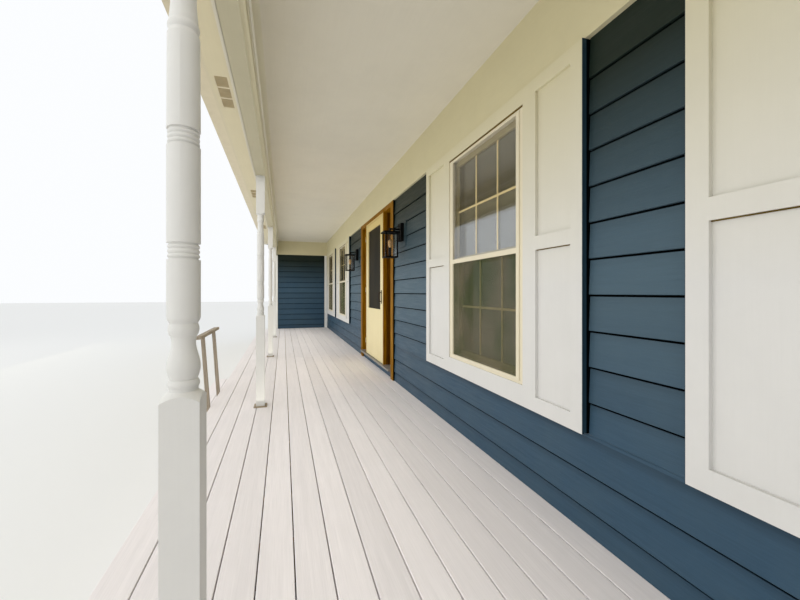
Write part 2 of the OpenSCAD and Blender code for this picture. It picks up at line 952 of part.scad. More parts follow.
// Stained casing on the wall and the lining, posts and head behind it
module entry_frame() {
    foot = sill_z - board_t;
    color("#8a5a24") place()
        union() {
            wall_ring(
                [entry_x - entry_out, -trim_t, deck_h],
                [entry_x + entry_out, 0, frieze_z],
                [entry_lo + lining_t, deck_h - 1],
                [entry_hi - lining_t, entry_top]
            );
            wall_ring(
                [entry_lo, -trim_t, foot],
                [entry_hi, wall_t, entry_top + lining_t],
                [entry_lo + lining_t, foot - 1],
                [entry_hi - lining_t, entry_top]
            );
            for (side = [-1, 1]) {
                mid = entry_x + side * (door_half - mullion_w / 2);
                box([mid - mullion_w / 2, 0, sill_z], [mid + mullion_w / 2, wall_t, entry_top]);
            }
        }
}

// Panels between the stained posts and the casing, set back in the wall
module entry_side_panels() {
    back = entry_recess + lining_t;
    color("#7a4d1e") place() {
        box([entry_lo + lining_t, entry_recess, sill_z], [entry_x - door_half, back, entry_top]);
        box([entry_x + door_half, entry_recess, sill_z], [entry_hi - lining_t, back, entry_top]);
    }
}

// Painted frame on the stained posts and head, open at the threshold
module door_frame() {
    half = leaf_w / 2 + leaf_gap;
    head = leaf_top + leaf_gap;
    color("#ece3c6") place()
        union() {
            wall_ring(
                [entry_x - half - door_frame_w, -leaf_t, sill_z],
                [entry_x + half + door_frame_w, -trim_t, head + door_frame_w],
                [entry_x - half, sill_z - 1],
                [entry_x + half, head]
            );
            wall_ring(
                [entry_x - half - door_frame_w, -trim_t, sill_z],
                [entry_x + half + door_frame_w, 0, entry_top],
                [entry_x - half, sill_z - 1],
                [entry_x + half, head]
            );
        }
}

// Sill between the casing's legs, out past the door leaf
module door_threshold() {
    lip = 30;
    x_lo = entry_lo + lining_t;
    x_hi = entry_hi - lining_t;
    color("#8d8a84") place()
        box([x_lo, leaf_front - lip, sill_z - board_t], [x_hi, wall_t, sill_z]);
}

// Knuckle of a hinge from one height to another, as an upright barrel
module barrel(z_lo, z_hi) {
    translate([hinge_x, hinge_y, z_lo])
        cylinder(r = barrel_r, h = z_hi - z_lo);
}

// Fixed half of each hinge: plate on the painted frame, lower knuckle and pin
module door_hinges() {
    color("#b9b3a2") place()
        for (z = hinge_zs)
            union() {
                barrel(z - knuckle_l, z);
                translate([hinge_x, hinge_y, z - knuckle_l])
                    cylinder(r = pin_r, h = 2 * knuckle_l);
                box([hinge_x - hinge_w, leaf_front - hinge_t, z - knuckle_l], [hinge_x, leaf_front, z]);
            }
}

// Leaf with a glazed upper part, and the moving halves of the hinges
module front_door() {
    panel_top = leaf_z + leaf_panel;
    plate_y = leaf_front - hinge_t;
    color("#ece3c6") place()
        difference() {
            union() {
                box([leaf_lo, leaf_front, leaf_z], [leaf_hi, 0, leaf_top]);
                for (z = hinge_zs) {
                    barrel(z + seat, z + knuckle_l);
                    box([hinge_x, plate_y, z + seat], [hinge_x + hinge_w, leaf_front, z + knuckle_l]);
                }
            }
            box([leaf_lo + leaf_stile, leaf_front - 1, panel_top],
                [leaf_hi - leaf_stile, 1, leaf_top - leaf_rail]);
            for (z = hinge_zs)
                translate([hinge_x, hinge_y, z - 1])
                    cylinder(r = pin_r + pin_clear, h = knuckle_l + 2);
        }
}

module door_glass() {
    panel_top = leaf_z + leaf_panel;
    front = leaf_front + leaf_glass_in;
    color("#5b6468", 0.5) place()
        box([leaf_lo + leaf_stile, front, panel_top],
            [leaf_hi - leaf_stile, front + glass_t, leaf_top - leaf_rail]);
}

// Pull handle on the leaf's free stile
module door_handle() {
    x = leaf_hi - leaf_stile / 2;
    z = leaf_z + handle_at;
    plate_half = [18, handle_l / 2 + 20];
    plate_d = 4;
    bar_r = 8;
    arm_r = 6;
    arm_z = handle_l / 2 - 2 * arm_r;
    color("#3a3733") place()
        union() {
            box([x - plate_half[0], leaf_front - plate_d, z - plate_half[1]],
                [x + plate_half[0], leaf_front, z + plate_half[1]]);
            for (end = [-1, 1])
                translate([x, leaf_front - plate_d / 2, z + end * arm_z])
                    rotate([90, 0, 0])
                        cylinder(r = arm_r, h = handle_out);
            translate([x, leaf_front - handle_out, z - handle_l / 2])
                cylinder(r = bar_r, h = handle_l);
        }
}

// Blocks on the siding that carry the lanterns
module lantern_blocks() {
    mid_z = wall_plate_z - block_drop;
    color("#3c5569") place()
        for (x = lantern_x)
            box([x - block_w / 2, -block_t, mid_z - block_h / 2], [x + block_w / 2, 0, mid_z + block_h / 2]);
}

// Square bar or plate around a lantern's upright middle line
module lantern_box(x, half, z_lo, z_hi) {
    box([x - half, -lantern_out - half, z_lo], [x + half, -lantern_out + half, z_hi]);
}

// Wall plate, arm, roof and cage of each lantern
module lantern_frames() {
    half = lantern_w / 2;
    bar_at = half - lantern_bar / 2;
    arm_z = lantern_top + arm_up;
    arm = arm_t / 2;
    plate_y = -block_t - wall_plate_t;
    color("#1d1c1b") place()
        for (x = lantern_x)
            union() {
                box([x - wall_plate_w / 2, plate_y, wall_plate_z - wall_plate_h / 2],
                    [x + wall_plate_w / 2, -block_t, wall_plate_z + wall_plate_h / 2]);
                box([x - arm, -lantern_out, arm_z - arm], [x + arm, -block_t, arm_z + arm]);
                lantern_box(x, arm, lantern_top - 1, arm_z + arm);
                lantern_box(x, half + cap_over, lantern_top - cap_t, lantern_top);
                lantern_box(x, half, lantern_low, lantern_low + lantern_floor_t);
                for (sx = [-1, 1])
                    for (sy = [-1, 1])
                        translate([sx * bar_at, sy * bar_at, 0])
                            lantern_box(x, lantern_bar / 2, lantern_low, lantern_top - 1);
            }
}

// Glass box inside each lantern's cage
module lantern_glass() {
    half = lantern_w / 2 - lantern_bar;
    low = lantern_low + lantern_floor_t;
    high = lantern_top - cap_t;
    color("#cfd8da", 0.4) place()
        for (x = lantern_x)
            difference() {
                lantern_box(x, half, low, high);
                lantern_box(x, half - lantern_glass_t, low - 1, high + 1);
            }
}

deck_floor();
deck_frame();
deck_piers();
skirt_boards();
step_tread();
step_frame();
handrail();
post(1);  // post_1
post(2);  // post_2
post(3);  // post_3
post(4);  // post_4
post(5);  // post_5
post_base_plates();
front_beam();
side_beam();
crown_moulding();
porch_ceiling();
soffit();
soffit_vents();
fascia_boards();
gutter();
rafters();
roof_boarding();
roof_shingles();
house_wall_near();
house_wall_far();
house_wall_over_door();
house_wall_under_door();
end_wall();
gable_wall();
corner_boards();
frieze_board();
window_casings();
storm_windows();
window_frames();
window_side_panels();
window_sashes();
window_glass();
entry_frame();
entry_side_panels();
door_frame();
door_threshold();
door_hinges();
front_door();
door_glass();
door_handle();
lantern_blocks();
lantern_frames();
lantern_glass();
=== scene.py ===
import math
import random

import bmesh
import bpy
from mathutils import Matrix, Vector

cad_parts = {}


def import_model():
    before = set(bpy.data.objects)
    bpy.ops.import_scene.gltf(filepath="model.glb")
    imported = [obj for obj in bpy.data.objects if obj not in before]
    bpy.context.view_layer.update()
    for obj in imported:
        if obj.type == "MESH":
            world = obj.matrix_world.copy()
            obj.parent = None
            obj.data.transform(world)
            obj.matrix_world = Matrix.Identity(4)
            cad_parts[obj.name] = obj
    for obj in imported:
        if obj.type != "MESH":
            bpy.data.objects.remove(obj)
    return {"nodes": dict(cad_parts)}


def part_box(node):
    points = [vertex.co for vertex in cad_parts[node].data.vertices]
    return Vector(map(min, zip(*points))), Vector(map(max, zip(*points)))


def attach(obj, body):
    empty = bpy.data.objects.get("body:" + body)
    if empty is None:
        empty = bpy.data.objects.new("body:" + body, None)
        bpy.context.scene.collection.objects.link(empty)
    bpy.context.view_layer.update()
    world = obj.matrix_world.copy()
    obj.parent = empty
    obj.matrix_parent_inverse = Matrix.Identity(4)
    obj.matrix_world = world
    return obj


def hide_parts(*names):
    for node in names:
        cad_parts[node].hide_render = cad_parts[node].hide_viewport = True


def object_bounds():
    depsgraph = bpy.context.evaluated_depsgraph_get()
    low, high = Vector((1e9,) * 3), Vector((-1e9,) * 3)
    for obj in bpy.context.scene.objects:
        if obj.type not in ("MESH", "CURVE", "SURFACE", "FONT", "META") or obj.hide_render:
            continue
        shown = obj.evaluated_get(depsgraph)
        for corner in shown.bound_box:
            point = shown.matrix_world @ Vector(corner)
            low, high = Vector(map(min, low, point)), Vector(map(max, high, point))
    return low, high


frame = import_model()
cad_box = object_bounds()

# Lengths are in metres. Pieces are laid out from the outer face of the end wall (x = 0), the face of
# the house wall (y = 0) and the ground (z = 0), and Pile.add() moves them to the frame's own origin.
NODES = frame["nodes"]
ORIGIN = Vector((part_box("end_wall")[0].x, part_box("house_wall_near")[0].y, 0.0))
dice = random.Random(11)


def span(node):
    """Lowest and highest corner of a node, seen from the wall corner."""
    low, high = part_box(node)
    return low - ORIGIN, high - ORIGIN


# Places read from the solids
DECK_Z = span("deck_floor")[1].z
DECK_X = span("deck_floor")[1].x
FACE_X = span("end_wall")[1].x
GABLE_X = span("side_beam")[1].x
BEAM_OUT = span("front_beam")[0].y
BEAM_IN = span("front_beam")[1].y
CEILING_Z = span("porch_ceiling")[0].z
FRIEZE_Z = span("frieze_board")[0].z
SURROUND_Z = span("window_casings")[0].z

# Trim: its thickness on the wall, and the width of a corner board and of a window's casing
TRIM_T = 0.029
CORNER_W = 0.096
CASING_W = 0.039

# Window with its side panels: how far it reaches from the window's middle to each side, how far it
# stands out, and the width of a side panel's stiles
UNIT_FAR = 1.02
UNIT_NEAR = 0.948
UNIT_T = 0.045
STILE_W = 0.074

# Roof: the ceiling's panel and the roof's boarding, the pitch, and the rafters' upright depth
PANEL_T = 0.01
SHEATHING_T = 0.012
PITCH = math.radians(18.4)
SLOPE = math.tan(PITCH)
RAFTER_V = 0.14 / math.cos(PITCH)

# Where the windows, the entry and the posts are along the porch
WINDOW_W = 1.0
WINDOW_MIDS = [1.37, 3.606, 10.019, 12.453]
ENTRY_X = 6.7765
ENTRY_HALF = 1.0225
POST_MIDS = [2.43, 5.43, 8.43, 11.43, 14.43]
POST_Y = -1.556

# Handrail: the underside of its rail, and the distance between its posts
RAIL_Z = 1.028
RAIL_POSTS = 0.6


def under_roof(y):
    """Height of the rafters' underside at a distance from the wall."""
    return CEILING_Z + PANEL_T + (y - BEAM_IN) * SLOPE


# Meshes

# Edges sharper than this stay sharp on a smooth piece
SHARP_ANGLE = math.radians(32)


class Pile:
    """Boards and bars of one piece. Each of them carries its own tone from -1 to 1."""

    def __init__(self, name):
        self.name = name
        self.points = []
        self.faces = []
        self.tones = []

    def add(self, points, faces, tone=None):
        """One solid, with a tone drawn at random where none is given."""
        first = len(self.points)
        if tone is None:
            tone = dice.uniform(-1, 1)
        self.points += [Vector(p) + ORIGIN for p in points]
        self.faces += [[first + i for i in face] for face in faces]
        self.tones += [tone] * len(points)

    def prism(self, low_ring, high_ring, tone=None):
        """Solid between two rings with the same number of points."""
        count = len(low_ring)
        sides = [[i, (i + 1) % count, (i + 1) % count + count, i + count] for i in range(count)]
        ends = [list(range(count))[::-1], list(range(count, 2 * count))]
        self.add(list(low_ring) + list(high_ring), sides + ends, tone)

    def along_x(self, x_lo, x_hi, outline, tone=None):
        """Straight solid along the porch, from an outline of [y, z] points."""
        self.prism([(x_lo, y, z) for y, z in outline], [(x_hi, y, z) for y, z in outline], tone)

    def along_y(self, y_lo, y_hi, outline, tone=None):
        """Straight solid across the porch, from an outline of [x, z] points."""
        self.prism([(x, y_lo, z) for x, z in outline], [(x, y_hi, z) for x, z in outline], tone)

    def box(self, low, high, tone=None):
        """Box from its lowest to its highest corner."""
        outline = [(low[1], low[2]), (high[1], low[2]), (high[1], high[2]), (low[1], high[2])]
        self.along_x(low[0], high[0], outline, tone)

    def turned(self, centre, profile, steps=24, tone=0.0):
        """Round solid around an upright line, from [radius, height] points."""
        cx, cy, cz = centre
        points = []
        for r, z in profile:
            for k in range(steps):
                turn = 2 * math.pi * k / steps
                points.append((cx + r * math.cos(turn), cy + r * math.sin(turn), cz + z))
        faces = []
        for ring in range(len(profile) - 1):
            for k in range(steps):
                a = ring * steps + k
                b = ring * steps + (k + 1) % steps
                faces.append([a, b, b + steps, a + steps])
        last = (len(profile) - 1) * steps
        faces.append(list(range(steps))[::-1])
        faces.append([last + k for k in range(steps)])
        self.add(points, faces, tone)

    def finish(self, material, replaces=(), bevel=0.0, smooth=True):
        """Turn the boards into one piece of the porch, in place of the nodes it replaces."""
        mesh = bpy.data.meshes.new(self.name)
        mesh.from_pydata(self.points, [], self.faces)
        tone = mesh.attributes.new("tone", "FLOAT", "POINT")
        tone.data.foreach_set("value", self.tones)
        work = bmesh.new()
        work.from_mesh(mesh)
        bmesh.ops.recalc_face_normals(work, faces=work.faces)
        if bevel:
            bmesh.ops.bevel(work, geom=work.edges[:], offset=bevel, segments=1, affect="EDGES", profile=0.6)
        work.to_mesh(mesh)
        work.free()
        mesh.polygons.foreach_set("use_smooth", [smooth] * len(mesh.polygons))
        if smooth:
            mesh.set_sharp_from_angle(angle=SHARP_ANGLE)
        mesh.materials.append(material)
        piece = bpy.data.objects.new(self.name, mesh)
        bpy.context.scene.collection.objects.link(piece)
        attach(piece, "porch")
        if replaces:
            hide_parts(*replaces)


# Materials

# Stretch of a pattern: even, with its grain along x, and with its grain upright
EVEN = (1, 1, 1)
LONG_X = (0.04, 1, 1)
LONG_Z = (1, 1, 0.04)


class Look:
    """Node material built around one Principled shader, in the object's own coordinates."""

    def __init__(self, name, roughness, **sockets):
        self.material = bpy.data.materials.new(name)
        self.material.use_nodes = True
        self.tree = self.material.node_tree
        self.shader = self.tree.nodes["Principled BSDF"]
        self.shader.inputs["Roughness"].default_value = roughness
        for key, value in sockets.items():
            self.shader.inputs[key.replace("_", " ")].default_value = value
        self.place = self.tree.nodes.new("ShaderNodeTexCoord").outputs["Object"]
        self.normal = None

    def node(self, kind, output, inputs, **settings):
        """One output of a new node, with its inputs linked or set."""
        made = self.tree.nodes.new(kind)
        for key, value in settings.items():
            setattr(made, key, value)
        for key, value in inputs.items():
            if isinstance(value, bpy.types.NodeSocket):
                self.tree.links.new(value, made.inputs[key])
            else:
                made.inputs[key].default_value = value
        return made.outputs[output]

    def stretched(self, stretch):
        """Place with each axis scaled, so that a pattern runs along the axis scaled down."""
        return self.node("ShaderNodeMapping", "Vector", {"Vector": self.place, "Scale": stretch})

    def turned_grain(self, turn_z):
        """Place for a grain that runs upright below a height and along x above it."""
        made = self.tree.nodes.new("ShaderNodeMix")
        made.data_type = "VECTOR"
        self.tree.links.new(self.maths("GREATER_THAN", self.height(), turn_z), made.inputs[0])
        self.tree.links.new(self.stretched(LONG_Z), made.inputs[4])
        self.tree.links.new(self.stretched(LONG_X), made.inputs[5])
        return made.outputs[1]

    def height(self):
        """Height above the ground."""
        return self.node("ShaderNodeSeparateXYZ", "Z", {"Vector": self.place})

    def noise(self, size, stretch=EVEN, detail=3.0, rough=0.5, warp=0.0):
        """Noise with spots of about a size in metres, stretched or on a place of its own."""
        placed = isinstance(stretch, bpy.types.NodeSocket)
        inputs = {
            "Vector": stretch if placed else self.stretched(stretch),
            "Scale": 1 / size,
            "Detail": detail,
            "Roughness": rough,
            "Distortion": warp,
        }
        return self.node("ShaderNodeTexNoise", "Fac", inputs)

    def maths(self, operation, a, b=0.0, c=0.0):
        """Result of one sum on linked or plain values."""
        made = self.tree.nodes.new("ShaderNodeMath")
        made.operation = operation
        for socket, value in zip(made.inputs, (a, b, c)):
            if isinstance(value, bpy.types.NodeSocket):
                self.tree.links.new(value, socket)
            else:
                socket.default_value = value
        return made.outputs[0]

    def fit(self, value, low, high, out_low=0.0, out_high=1.0):
        """Value moved from one range to another, and held at its ends."""
        inputs = {"Value": value, "From Min": low, "From Max": high, "To Min": out_low, "To Max": out_high}
        return self.node("ShaderNodeMapRange", "Result", inputs)

    def mix(self, share, first, second):
        """Colour between two others."""
        made = self.tree.nodes.new("ShaderNodeMix")
        made.data_type = "RGBA"
        for index, value in ((0, share), (6, first), (7, second)):
            if isinstance(value, bpy.types.NodeSocket):
                self.tree.links.new(value, made.inputs[index])
            else:
                made.inputs[index].default_value = value if index == 0 else (*value[:3], 1.0)
        return made.outputs[2]

    def toned(self, colour, amount):
        """Colour made lighter or darker by the tone of each board."""
        tone = self.node("ShaderNodeAttribute", "Fac", {}, attribute_name="tone")
        value = self.maths("MULTIPLY_ADD", tone, amount, 1.0)
        inputs = {"Color": (*colour, 1.0) if isinstance(colour, tuple) else colour, "Value": value}
        return self.node("ShaderNodeHueSaturation", "Color", inputs)

    def colour(self, value):
        """Set or link the base colour."""
        if isinstance(value, bpy.types.NodeSocket):
            self.tree.links.new(value, self.shader.inputs["Base Color"])
        else:
            self.shader.inputs["Base Color"].default_value = (*value, 1.0)

    def roughness(self, value):
        """Link the roughness."""
        self.tree.links.new(value, self.shader.inputs["Roughness"])

    def bump(self, height, depth):
        """Relief of a depth in metres, on top of the ones before."""
        inputs = {"Height": height, "Distance": depth, "Strength": 1.0}
        if self.normal:
            inputs["Normal"] = self.normal
        self.normal = self.node("ShaderNodeBump", "Normal", inputs)
        self.tree.links.new(self.normal, self.shader.inputs["Normal"])


def srgb(red, green, blue):
    """Linear colour from the 0 to 255 values in which a picture shows it."""
    return tuple(
        c / 12.92 if c <= 0.04045 else ((c + 0.055) / 1.055) ** 2.4
        for c in (red / 255, green / 255, blue / 255)
    )


def darker(colour, share):
    """Colour times a share, which is over 1 for a lighter one."""
    return tuple(c * share for c in colour)


def painted(name, colour, roughness, grain=EVEN, depth=0.0004, wear=0.05, tone=0.02, high=None):
    """Satin paint with faint brush marks and a little dirt, and with painted light and shade that turn it to
    another colour high on the wall.
    """
    turn_low = 1.5
    look = Look(name, roughness, Specular_IOR_Level=0.3)
    strokes = look.noise(0.012, grain, detail=5, rough=0.6)
    dirt = look.noise(0.35, detail=6, rough=0.65)
    base = look.mix(look.fit(dirt, 0.42, 0.75), colour, darker(colour, 1 - wear))
    base = look.mix(look.fit(strokes, 0.35, 0.7, out_high=0.25), base, darker(colour, 0.94))
    # Painted light and shade: from turn_low up to the frieze the colour turns to high
    if high:
        base = look.mix(look.fit(look.height(), turn_low, FRIEZE_Z, out_high=0.9), base, high)
    look.colour(look.toned(base, tone))
    look.roughness(look.fit(strokes, 0.3, 0.7, roughness - 0.05, roughness + 0.07))
    look.bump(strokes, depth)
    look.bump(look.noise(0.0025, detail=2), depth * 0.25)
    return look.material


def grained(name, colour, dark, roughness, grain, size=0.02, depth=0.0006, tone=0.1, turn_z=None):
    """Wood with long fibres, darker late wood and a tone for each board, upright below turn_z."""
    look = Look(name, roughness, Specular_IOR_Level=0.06)
    if turn_z:
        grain = look.turned_grain(turn_z)
    rings = look.noise(size, grain, detail=6, rough=0.62, warp=0.6)
    fibres = look.noise(size * 0.16, grain, detail=4, rough=0.7)
    patches = look.noise(size * 12)
    base = look.mix(look.fit(rings, 0.38, 0.66), colour, dark)
    base = look.mix(look.fit(fibres, 0.45, 0.75, out_high=0.5), base, darker(dark, 0.75))
    base = look.mix(look.fit(patches, 0.4, 0.7, out_high=0.3), base, darker(colour, 0.8))
    look.colour(look.toned(base, tone))
    look.roughness(look.fit(fibres, 0.3, 0.75, roughness - 0.06, roughness + 0.1))
    look.bump(fibres, depth)
    return look.material


def sided(name, lit_share):
    """Painted lap siding with a pressed grain along the boards, with painted light halfway up, painted shade
    at the top and painted shade under each lap.
    """
    lit_low = 0.8
    lit_high = 1.4
    shade_low = 1.7
    shade_high = 2.45
    look = Look(name, 0.45, Specular_IOR_Level=0.2)
    grain = look.noise(0.02, (0.06, 1, 1), detail=6, rough=0.65, warp=0.4)
    fine = look.noise(0.004, (0.05, 1, 1), detail=4, rough=0.7)
    dirt = look.noise(0.5, detail=6, rough=0.65)
    base = look.mix(look.fit(grain, 0.35, 0.7, out_high=0.6), NAVY, darker(NAVY, 0.8))
    base = look.mix(look.fit(fine, 0.45, 0.75, out_high=0.4), base, darker(NAVY, 1.25))
    base = look.mix(look.fit(dirt, 0.4, 0.75, out_high=0.3), base, DUST)
    height = look.height()
    # Painted shade: each board darker near its top, under the butt of the board above
    up_board = look.maths("FRACT", look.maths("DIVIDE", look.maths("SUBTRACT", height, FIRST_LAP), LAP))
    base = look.mix(look.fit(up_board, 0.72, 0.96, out_high=0.45), base, darker(NAVY, 0.35))
    # Painted light: lighter boards halfway up the wall
    base = look.mix(look.fit(height, lit_low, lit_high, out_high=lit_share), base, LIT_NAVY)
    base = look.mix(look.fit(height, shade_low, shade_high, out_high=0.95), base, SHADED_NAVY)
    look.colour(look.toned(base, 0.05))
    look.roughness(look.fit(grain, 0.3, 0.7, 0.38, 0.55))
    look.bump(grain, 0.0012)
    look.bump(fine, 0.0004)
    return look.material


def composite(name, colour):
    """Brushed composite board: fine streaks along x and faint wider bands."""
    roughness = 0.62
    look = Look(name, roughness, Specular_IOR_Level=0.3)
    streaks = look.noise(0.004, (0.02, 1, 1), detail=4, rough=0.65)
    bands = look.noise(0.03, (0.04, 1, 1), rough=0.55)
    dirt = look.noise(0.5, detail=6, rough=0.6)
    base = look.mix(look.fit(bands, 0.35, 0.7), colour, darker(colour, 0.93))
    base = look.mix(look.fit(streaks, 0.42, 0.68, out_high=0.5), base, darker(colour, 0.84))
    base = look.mix(look.fit(dirt, 0.45, 0.75, out_high=0.25), base, darker(colour, 0.86))
    look.colour(look.toned(base, 0.045))
    look.roughness(look.fit(streaks, 0.3, 0.7, roughness - 0.05, roughness + 0.08))
    look.bump(streaks, 0.0005)
    return look.material


def metal(name, colour, roughness, metallic=0.0, depth=0.0002, wear=0.12, gloss=0.2):
    """Coated or bare metal with a fine grain, and dull patches."""
    look = Look(name, roughness, Metallic=metallic, Specular_IOR_Level=gloss)
    grit = look.noise(0.003, rough=0.6)
    patches = look.noise(0.08, detail=5, rough=0.6)
    base = look.mix(look.fit(patches, 0.4, 0.7), colour, darker(colour, 1 - wear))
    look.colour(look.toned(base, 0.03))
    look.roughness(look.fit(patches, 0.35, 0.7, roughness - 0.05, roughness + 0.08))
    look.bump(grit, depth)
    return look.material


def dark_room(name):
    """Dark olive sheet behind the panes, as painted shade of the unlit room, with faint horizontal bands."""
    look = Look(name, 0.8)
    bands = look.noise(0.05, (0.01, 0.01, 1), detail=2, rough=0.4)
    patches = look.noise(0.5)
    base = look.mix(look.fit(bands, 0.4, 0.62), srgb(44, 40, 26), srgb(20, 18, 12))
    look.colour(look.mix(look.fit(patches, 0.4, 0.65, out_high=0.5), base, srgb(16, 15, 11)))
    return look.material


def shingled(name):
    """Granule-faced shingle, each tab with its own grey."""
    look = Look(name, 0.9)
    granules = look.noise(0.0025, detail=2, rough=0.7)
    blots = look.noise(0.05, detail=4, rough=0.6)
    base = look.mix(look.fit(granules, 0.35, 0.65), srgb(84, 82, 80), srgb(140, 136, 130))
    base = look.mix(look.fit(blots, 0.4, 0.7, out_high=0.5), base, srgb(70, 66, 62))
    look.colour(look.toned(base, 0.22))
    look.bump(granules, 0.0012)
    return look.material


def walled(name):
    """Wall in pale plaster, painted like the siding on its outer side and at its ends."""
    plaster = srgb(222, 218, 208)
    end_x = cad_box[1][0] - 0.05
    look = Look(name, 0.5, Specular_IOR_Level=0.2)
    grit = look.noise(0.006, detail=4, rough=0.6)
    facing = look.tree.nodes.new("ShaderNodeNewGeometry").outputs["Normal"]
    outward = look.maths("LESS_THAN", look.node("ShaderNodeSeparateXYZ", "Y", {"Vector": facing}), -0.5)
    along = look.node("ShaderNodeSeparateXYZ", "X", {"Vector": look.place})
    at_end = look.maths("GREATER_THAN", look.maths("ABSOLUTE", along), end_x)
    look.colour(look.mix(look.maths("MAXIMUM", outward, at_end), plaster, NAVY))
    look.bump(grit, 0.0005)
    return look.material


def plain(name, colour, roughness, **sockets):
    """One even colour, for gaps, bulbs and glass."""
    look = Look(name, roughness, **sockets)
    look.colour(colour)
    return look


# Siding's rows: the distance from lap to lap, and the lowest lap
LAP = 0.1642
FIRST_LAP = DECK_Z - 0.05

WHITE = srgb(214, 213, 210)
# The trim's white made lighter for the posts, as painted light
LIT_POST_WHITE = srgb(226, 225, 221)
NAVY = srgb(51, 77, 97)
# Siding paint made lighter, as painted light halfway up the wall
LIT_NAVY = srgb(88, 107, 115)
SHADED_NAVY = srgb(22, 33, 22)
DUST = srgb(74, 92, 100)
CREAM = srgb(228, 214, 166)
# Door paint yellower and darker at the top, as painted warm light and shade
SHADED_TOP_CREAM = srgb(210, 184, 106)
# White paint tinted cream as painted warm light: the frieze's colour and the colour high on the trim
WARM_LIT_WHITE = srgb(214, 206, 170)
ALUMINIUM = srgb(214, 204, 178)

# Deck and step
deck_look = composite("composite_deck", srgb(246, 240, 239))
skirt_look = composite("composite_skirt", srgb(212, 204, 199))
concrete_look = metal("pier_concrete", srgb(168, 165, 158), 0.85, depth=0.0012, wear=0.2)
weathered_look = grained(
    "weathered_wood", srgb(182, 170, 152), srgb(128, 116, 100), 0.8, LONG_X, size=0.01, turn_z=RAIL_Z
)

# Posts, beams, ceiling and eave
post_look = painted("post_paint", LIT_POST_WHITE, 0.42, LONG_Z)
plate_look = metal("plate_metal", srgb(168, 152, 126), 0.5, metallic=0.3)
beam_look = painted("beam_paint", srgb(196, 189, 160), 0.5, LONG_X, depth=0.0003)
outer_look = painted("outer_paint", srgb(218, 212, 192), 0.45, LONG_X)
ceiling_look = painted("ceiling_paint", srgb(227, 222, 207), 0.6, LONG_X, depth=0.0003)
crown_look = painted("crown_paint", srgb(228, 223, 203), 0.5, LONG_X)
# The crown's paint made lighter on the bead, as a painted highlight
bead_highlight_look = painted("bead_highlight_paint", srgb(248, 245, 234), 0.5, LONG_X)
soffit_look = painted("soffit_paint", srgb(212, 203, 174), 0.5, LONG_X, depth=0.0003)
vent_look = metal("vent_metal", ALUMINIUM, 0.5)
mesh_look = metal("vent_mesh", srgb(186, 172, 142), 0.7, depth=0.0004, wear=0.15)
fascia_look = painted("fascia_paint", srgb(210, 201, 174), 0.45, LONG_X)
gutter_look = metal("gutter_metal", ALUMINIUM, 0.4, depth=0.00005, wear=0.04)
timber_look = grained("framing_timber", srgb(206, 170, 120), srgb(160, 118, 72), 0.75, LONG_X)
shingle_look = shingled("roof_shingle")

# Walls and their trim
wall_look = walled("wall_faces")
outer_wall_look = painted("outer_wall_paint", NAVY, 0.5, depth=0.0006, wear=0.12)
siding_look = sided("siding_paint", lit_share=0.4)
end_siding_look = sided("end_siding_paint", lit_share=0.0)
# The siding paint made darker as painted shade, for the front of the surrounds' edges
side_shade_look = painted("siding_strip_shaded", srgb(30, 56, 70), 0.6, LONG_Z, depth=0.0005, wear=0.1)
# Near black with no sheen: painted shadow behind the siding's open joints and on the rear edges of the trim
shadow_gap_look = plain("siding_shadow_gap", srgb(5, 8, 9), 1.0, Specular_IOR_Level=0.0).material
# White made lighter for the corner boards, as painted light
lit_corner_look = painted("corner_paint_lit", srgb(246, 245, 240), 0.42, LONG_Z)
frieze_look = painted("frieze_paint", WARM_LIT_WHITE, 0.5, LONG_X, depth=0.0003)
trim_look = painted("trim_paint", WHITE, 0.42, LONG_Z, high=WARM_LIT_WHITE)
# Raw-wood colour for painted shadow lines under rails and casings
raw_edge_shadow_look = grained("raw_wood_shadow_edge", srgb(124, 102, 44), srgb(88, 70, 24), 0.8, LONG_X, size=0.01)

# Windows
storm_look = painted("storm_frame", srgb(224, 215, 190), 0.38, depth=0.0001)
# Cream vinyl tinted tan and darkened, as painted shade and warm light; darker still on the sash frames
sash_frame_shade_look = painted("sash_frame_shaded", srgb(160, 146, 104), 0.5, depth=0.0001)
sash_shade_look = painted("sash_vinyl", srgb(236, 214, 156), 0.42, depth=0.0001)
room_shade_look = dark_room("dark_interior_shade")
pane = plain("window_glass", srgb(246, 248, 246), 0.01, Metallic=1.0, Alpha=0.13)
pane.bump(pane.noise(0.6, detail=1), 0.0004)
screen = Look("insect_screen", 0.7, Alpha=0.42, Specular_IOR_Level=0.1)
weave = screen.noise(0.3)
screen.colour(screen.mix(screen.fit(weave, 0.4, 0.65), srgb(118, 112, 92), srgb(84, 92, 62)))

# Entry
stain_look = grained(
    "stained_wood", srgb(162, 114, 10), srgb(90, 54, 2), 0.55, LONG_Z, size=0.016, depth=0.0004, tone=0.08
)
stain_dark_look = grained(
    "stained_jamb", srgb(108, 68, 2), srgb(58, 34, 1), 0.55, LONG_Z, size=0.012, depth=0.0004, tone=0.12
)
door_look = painted("door_paint", CREAM, 0.35, depth=0.0001, high=SHADED_TOP_CREAM)
sill_look = metal("threshold_metal", srgb(150, 147, 140), 0.5, metallic=0.3)
hinge_look = metal("hinge_metal", srgb(216, 206, 176), 0.4, metallic=0.2)
handle_look = metal("handle_metal", srgb(58, 50, 42), 0.35, metallic=0.6)
# Door glass as an opaque dark olive with almost no sheen: painted shade of the unlit inside behind it
door_shade_pane = Look("door_glass", 0.5, Specular_IOR_Level=0.05)
shade_patches = door_shade_pane.noise(0.25, (1, 1, 0.3))
door_shade_pane.colour(door_shade_pane.mix(door_shade_pane.fit(shade_patches, 0.4, 0.65), srgb(40, 35, 20), srgb(26, 23, 14)))

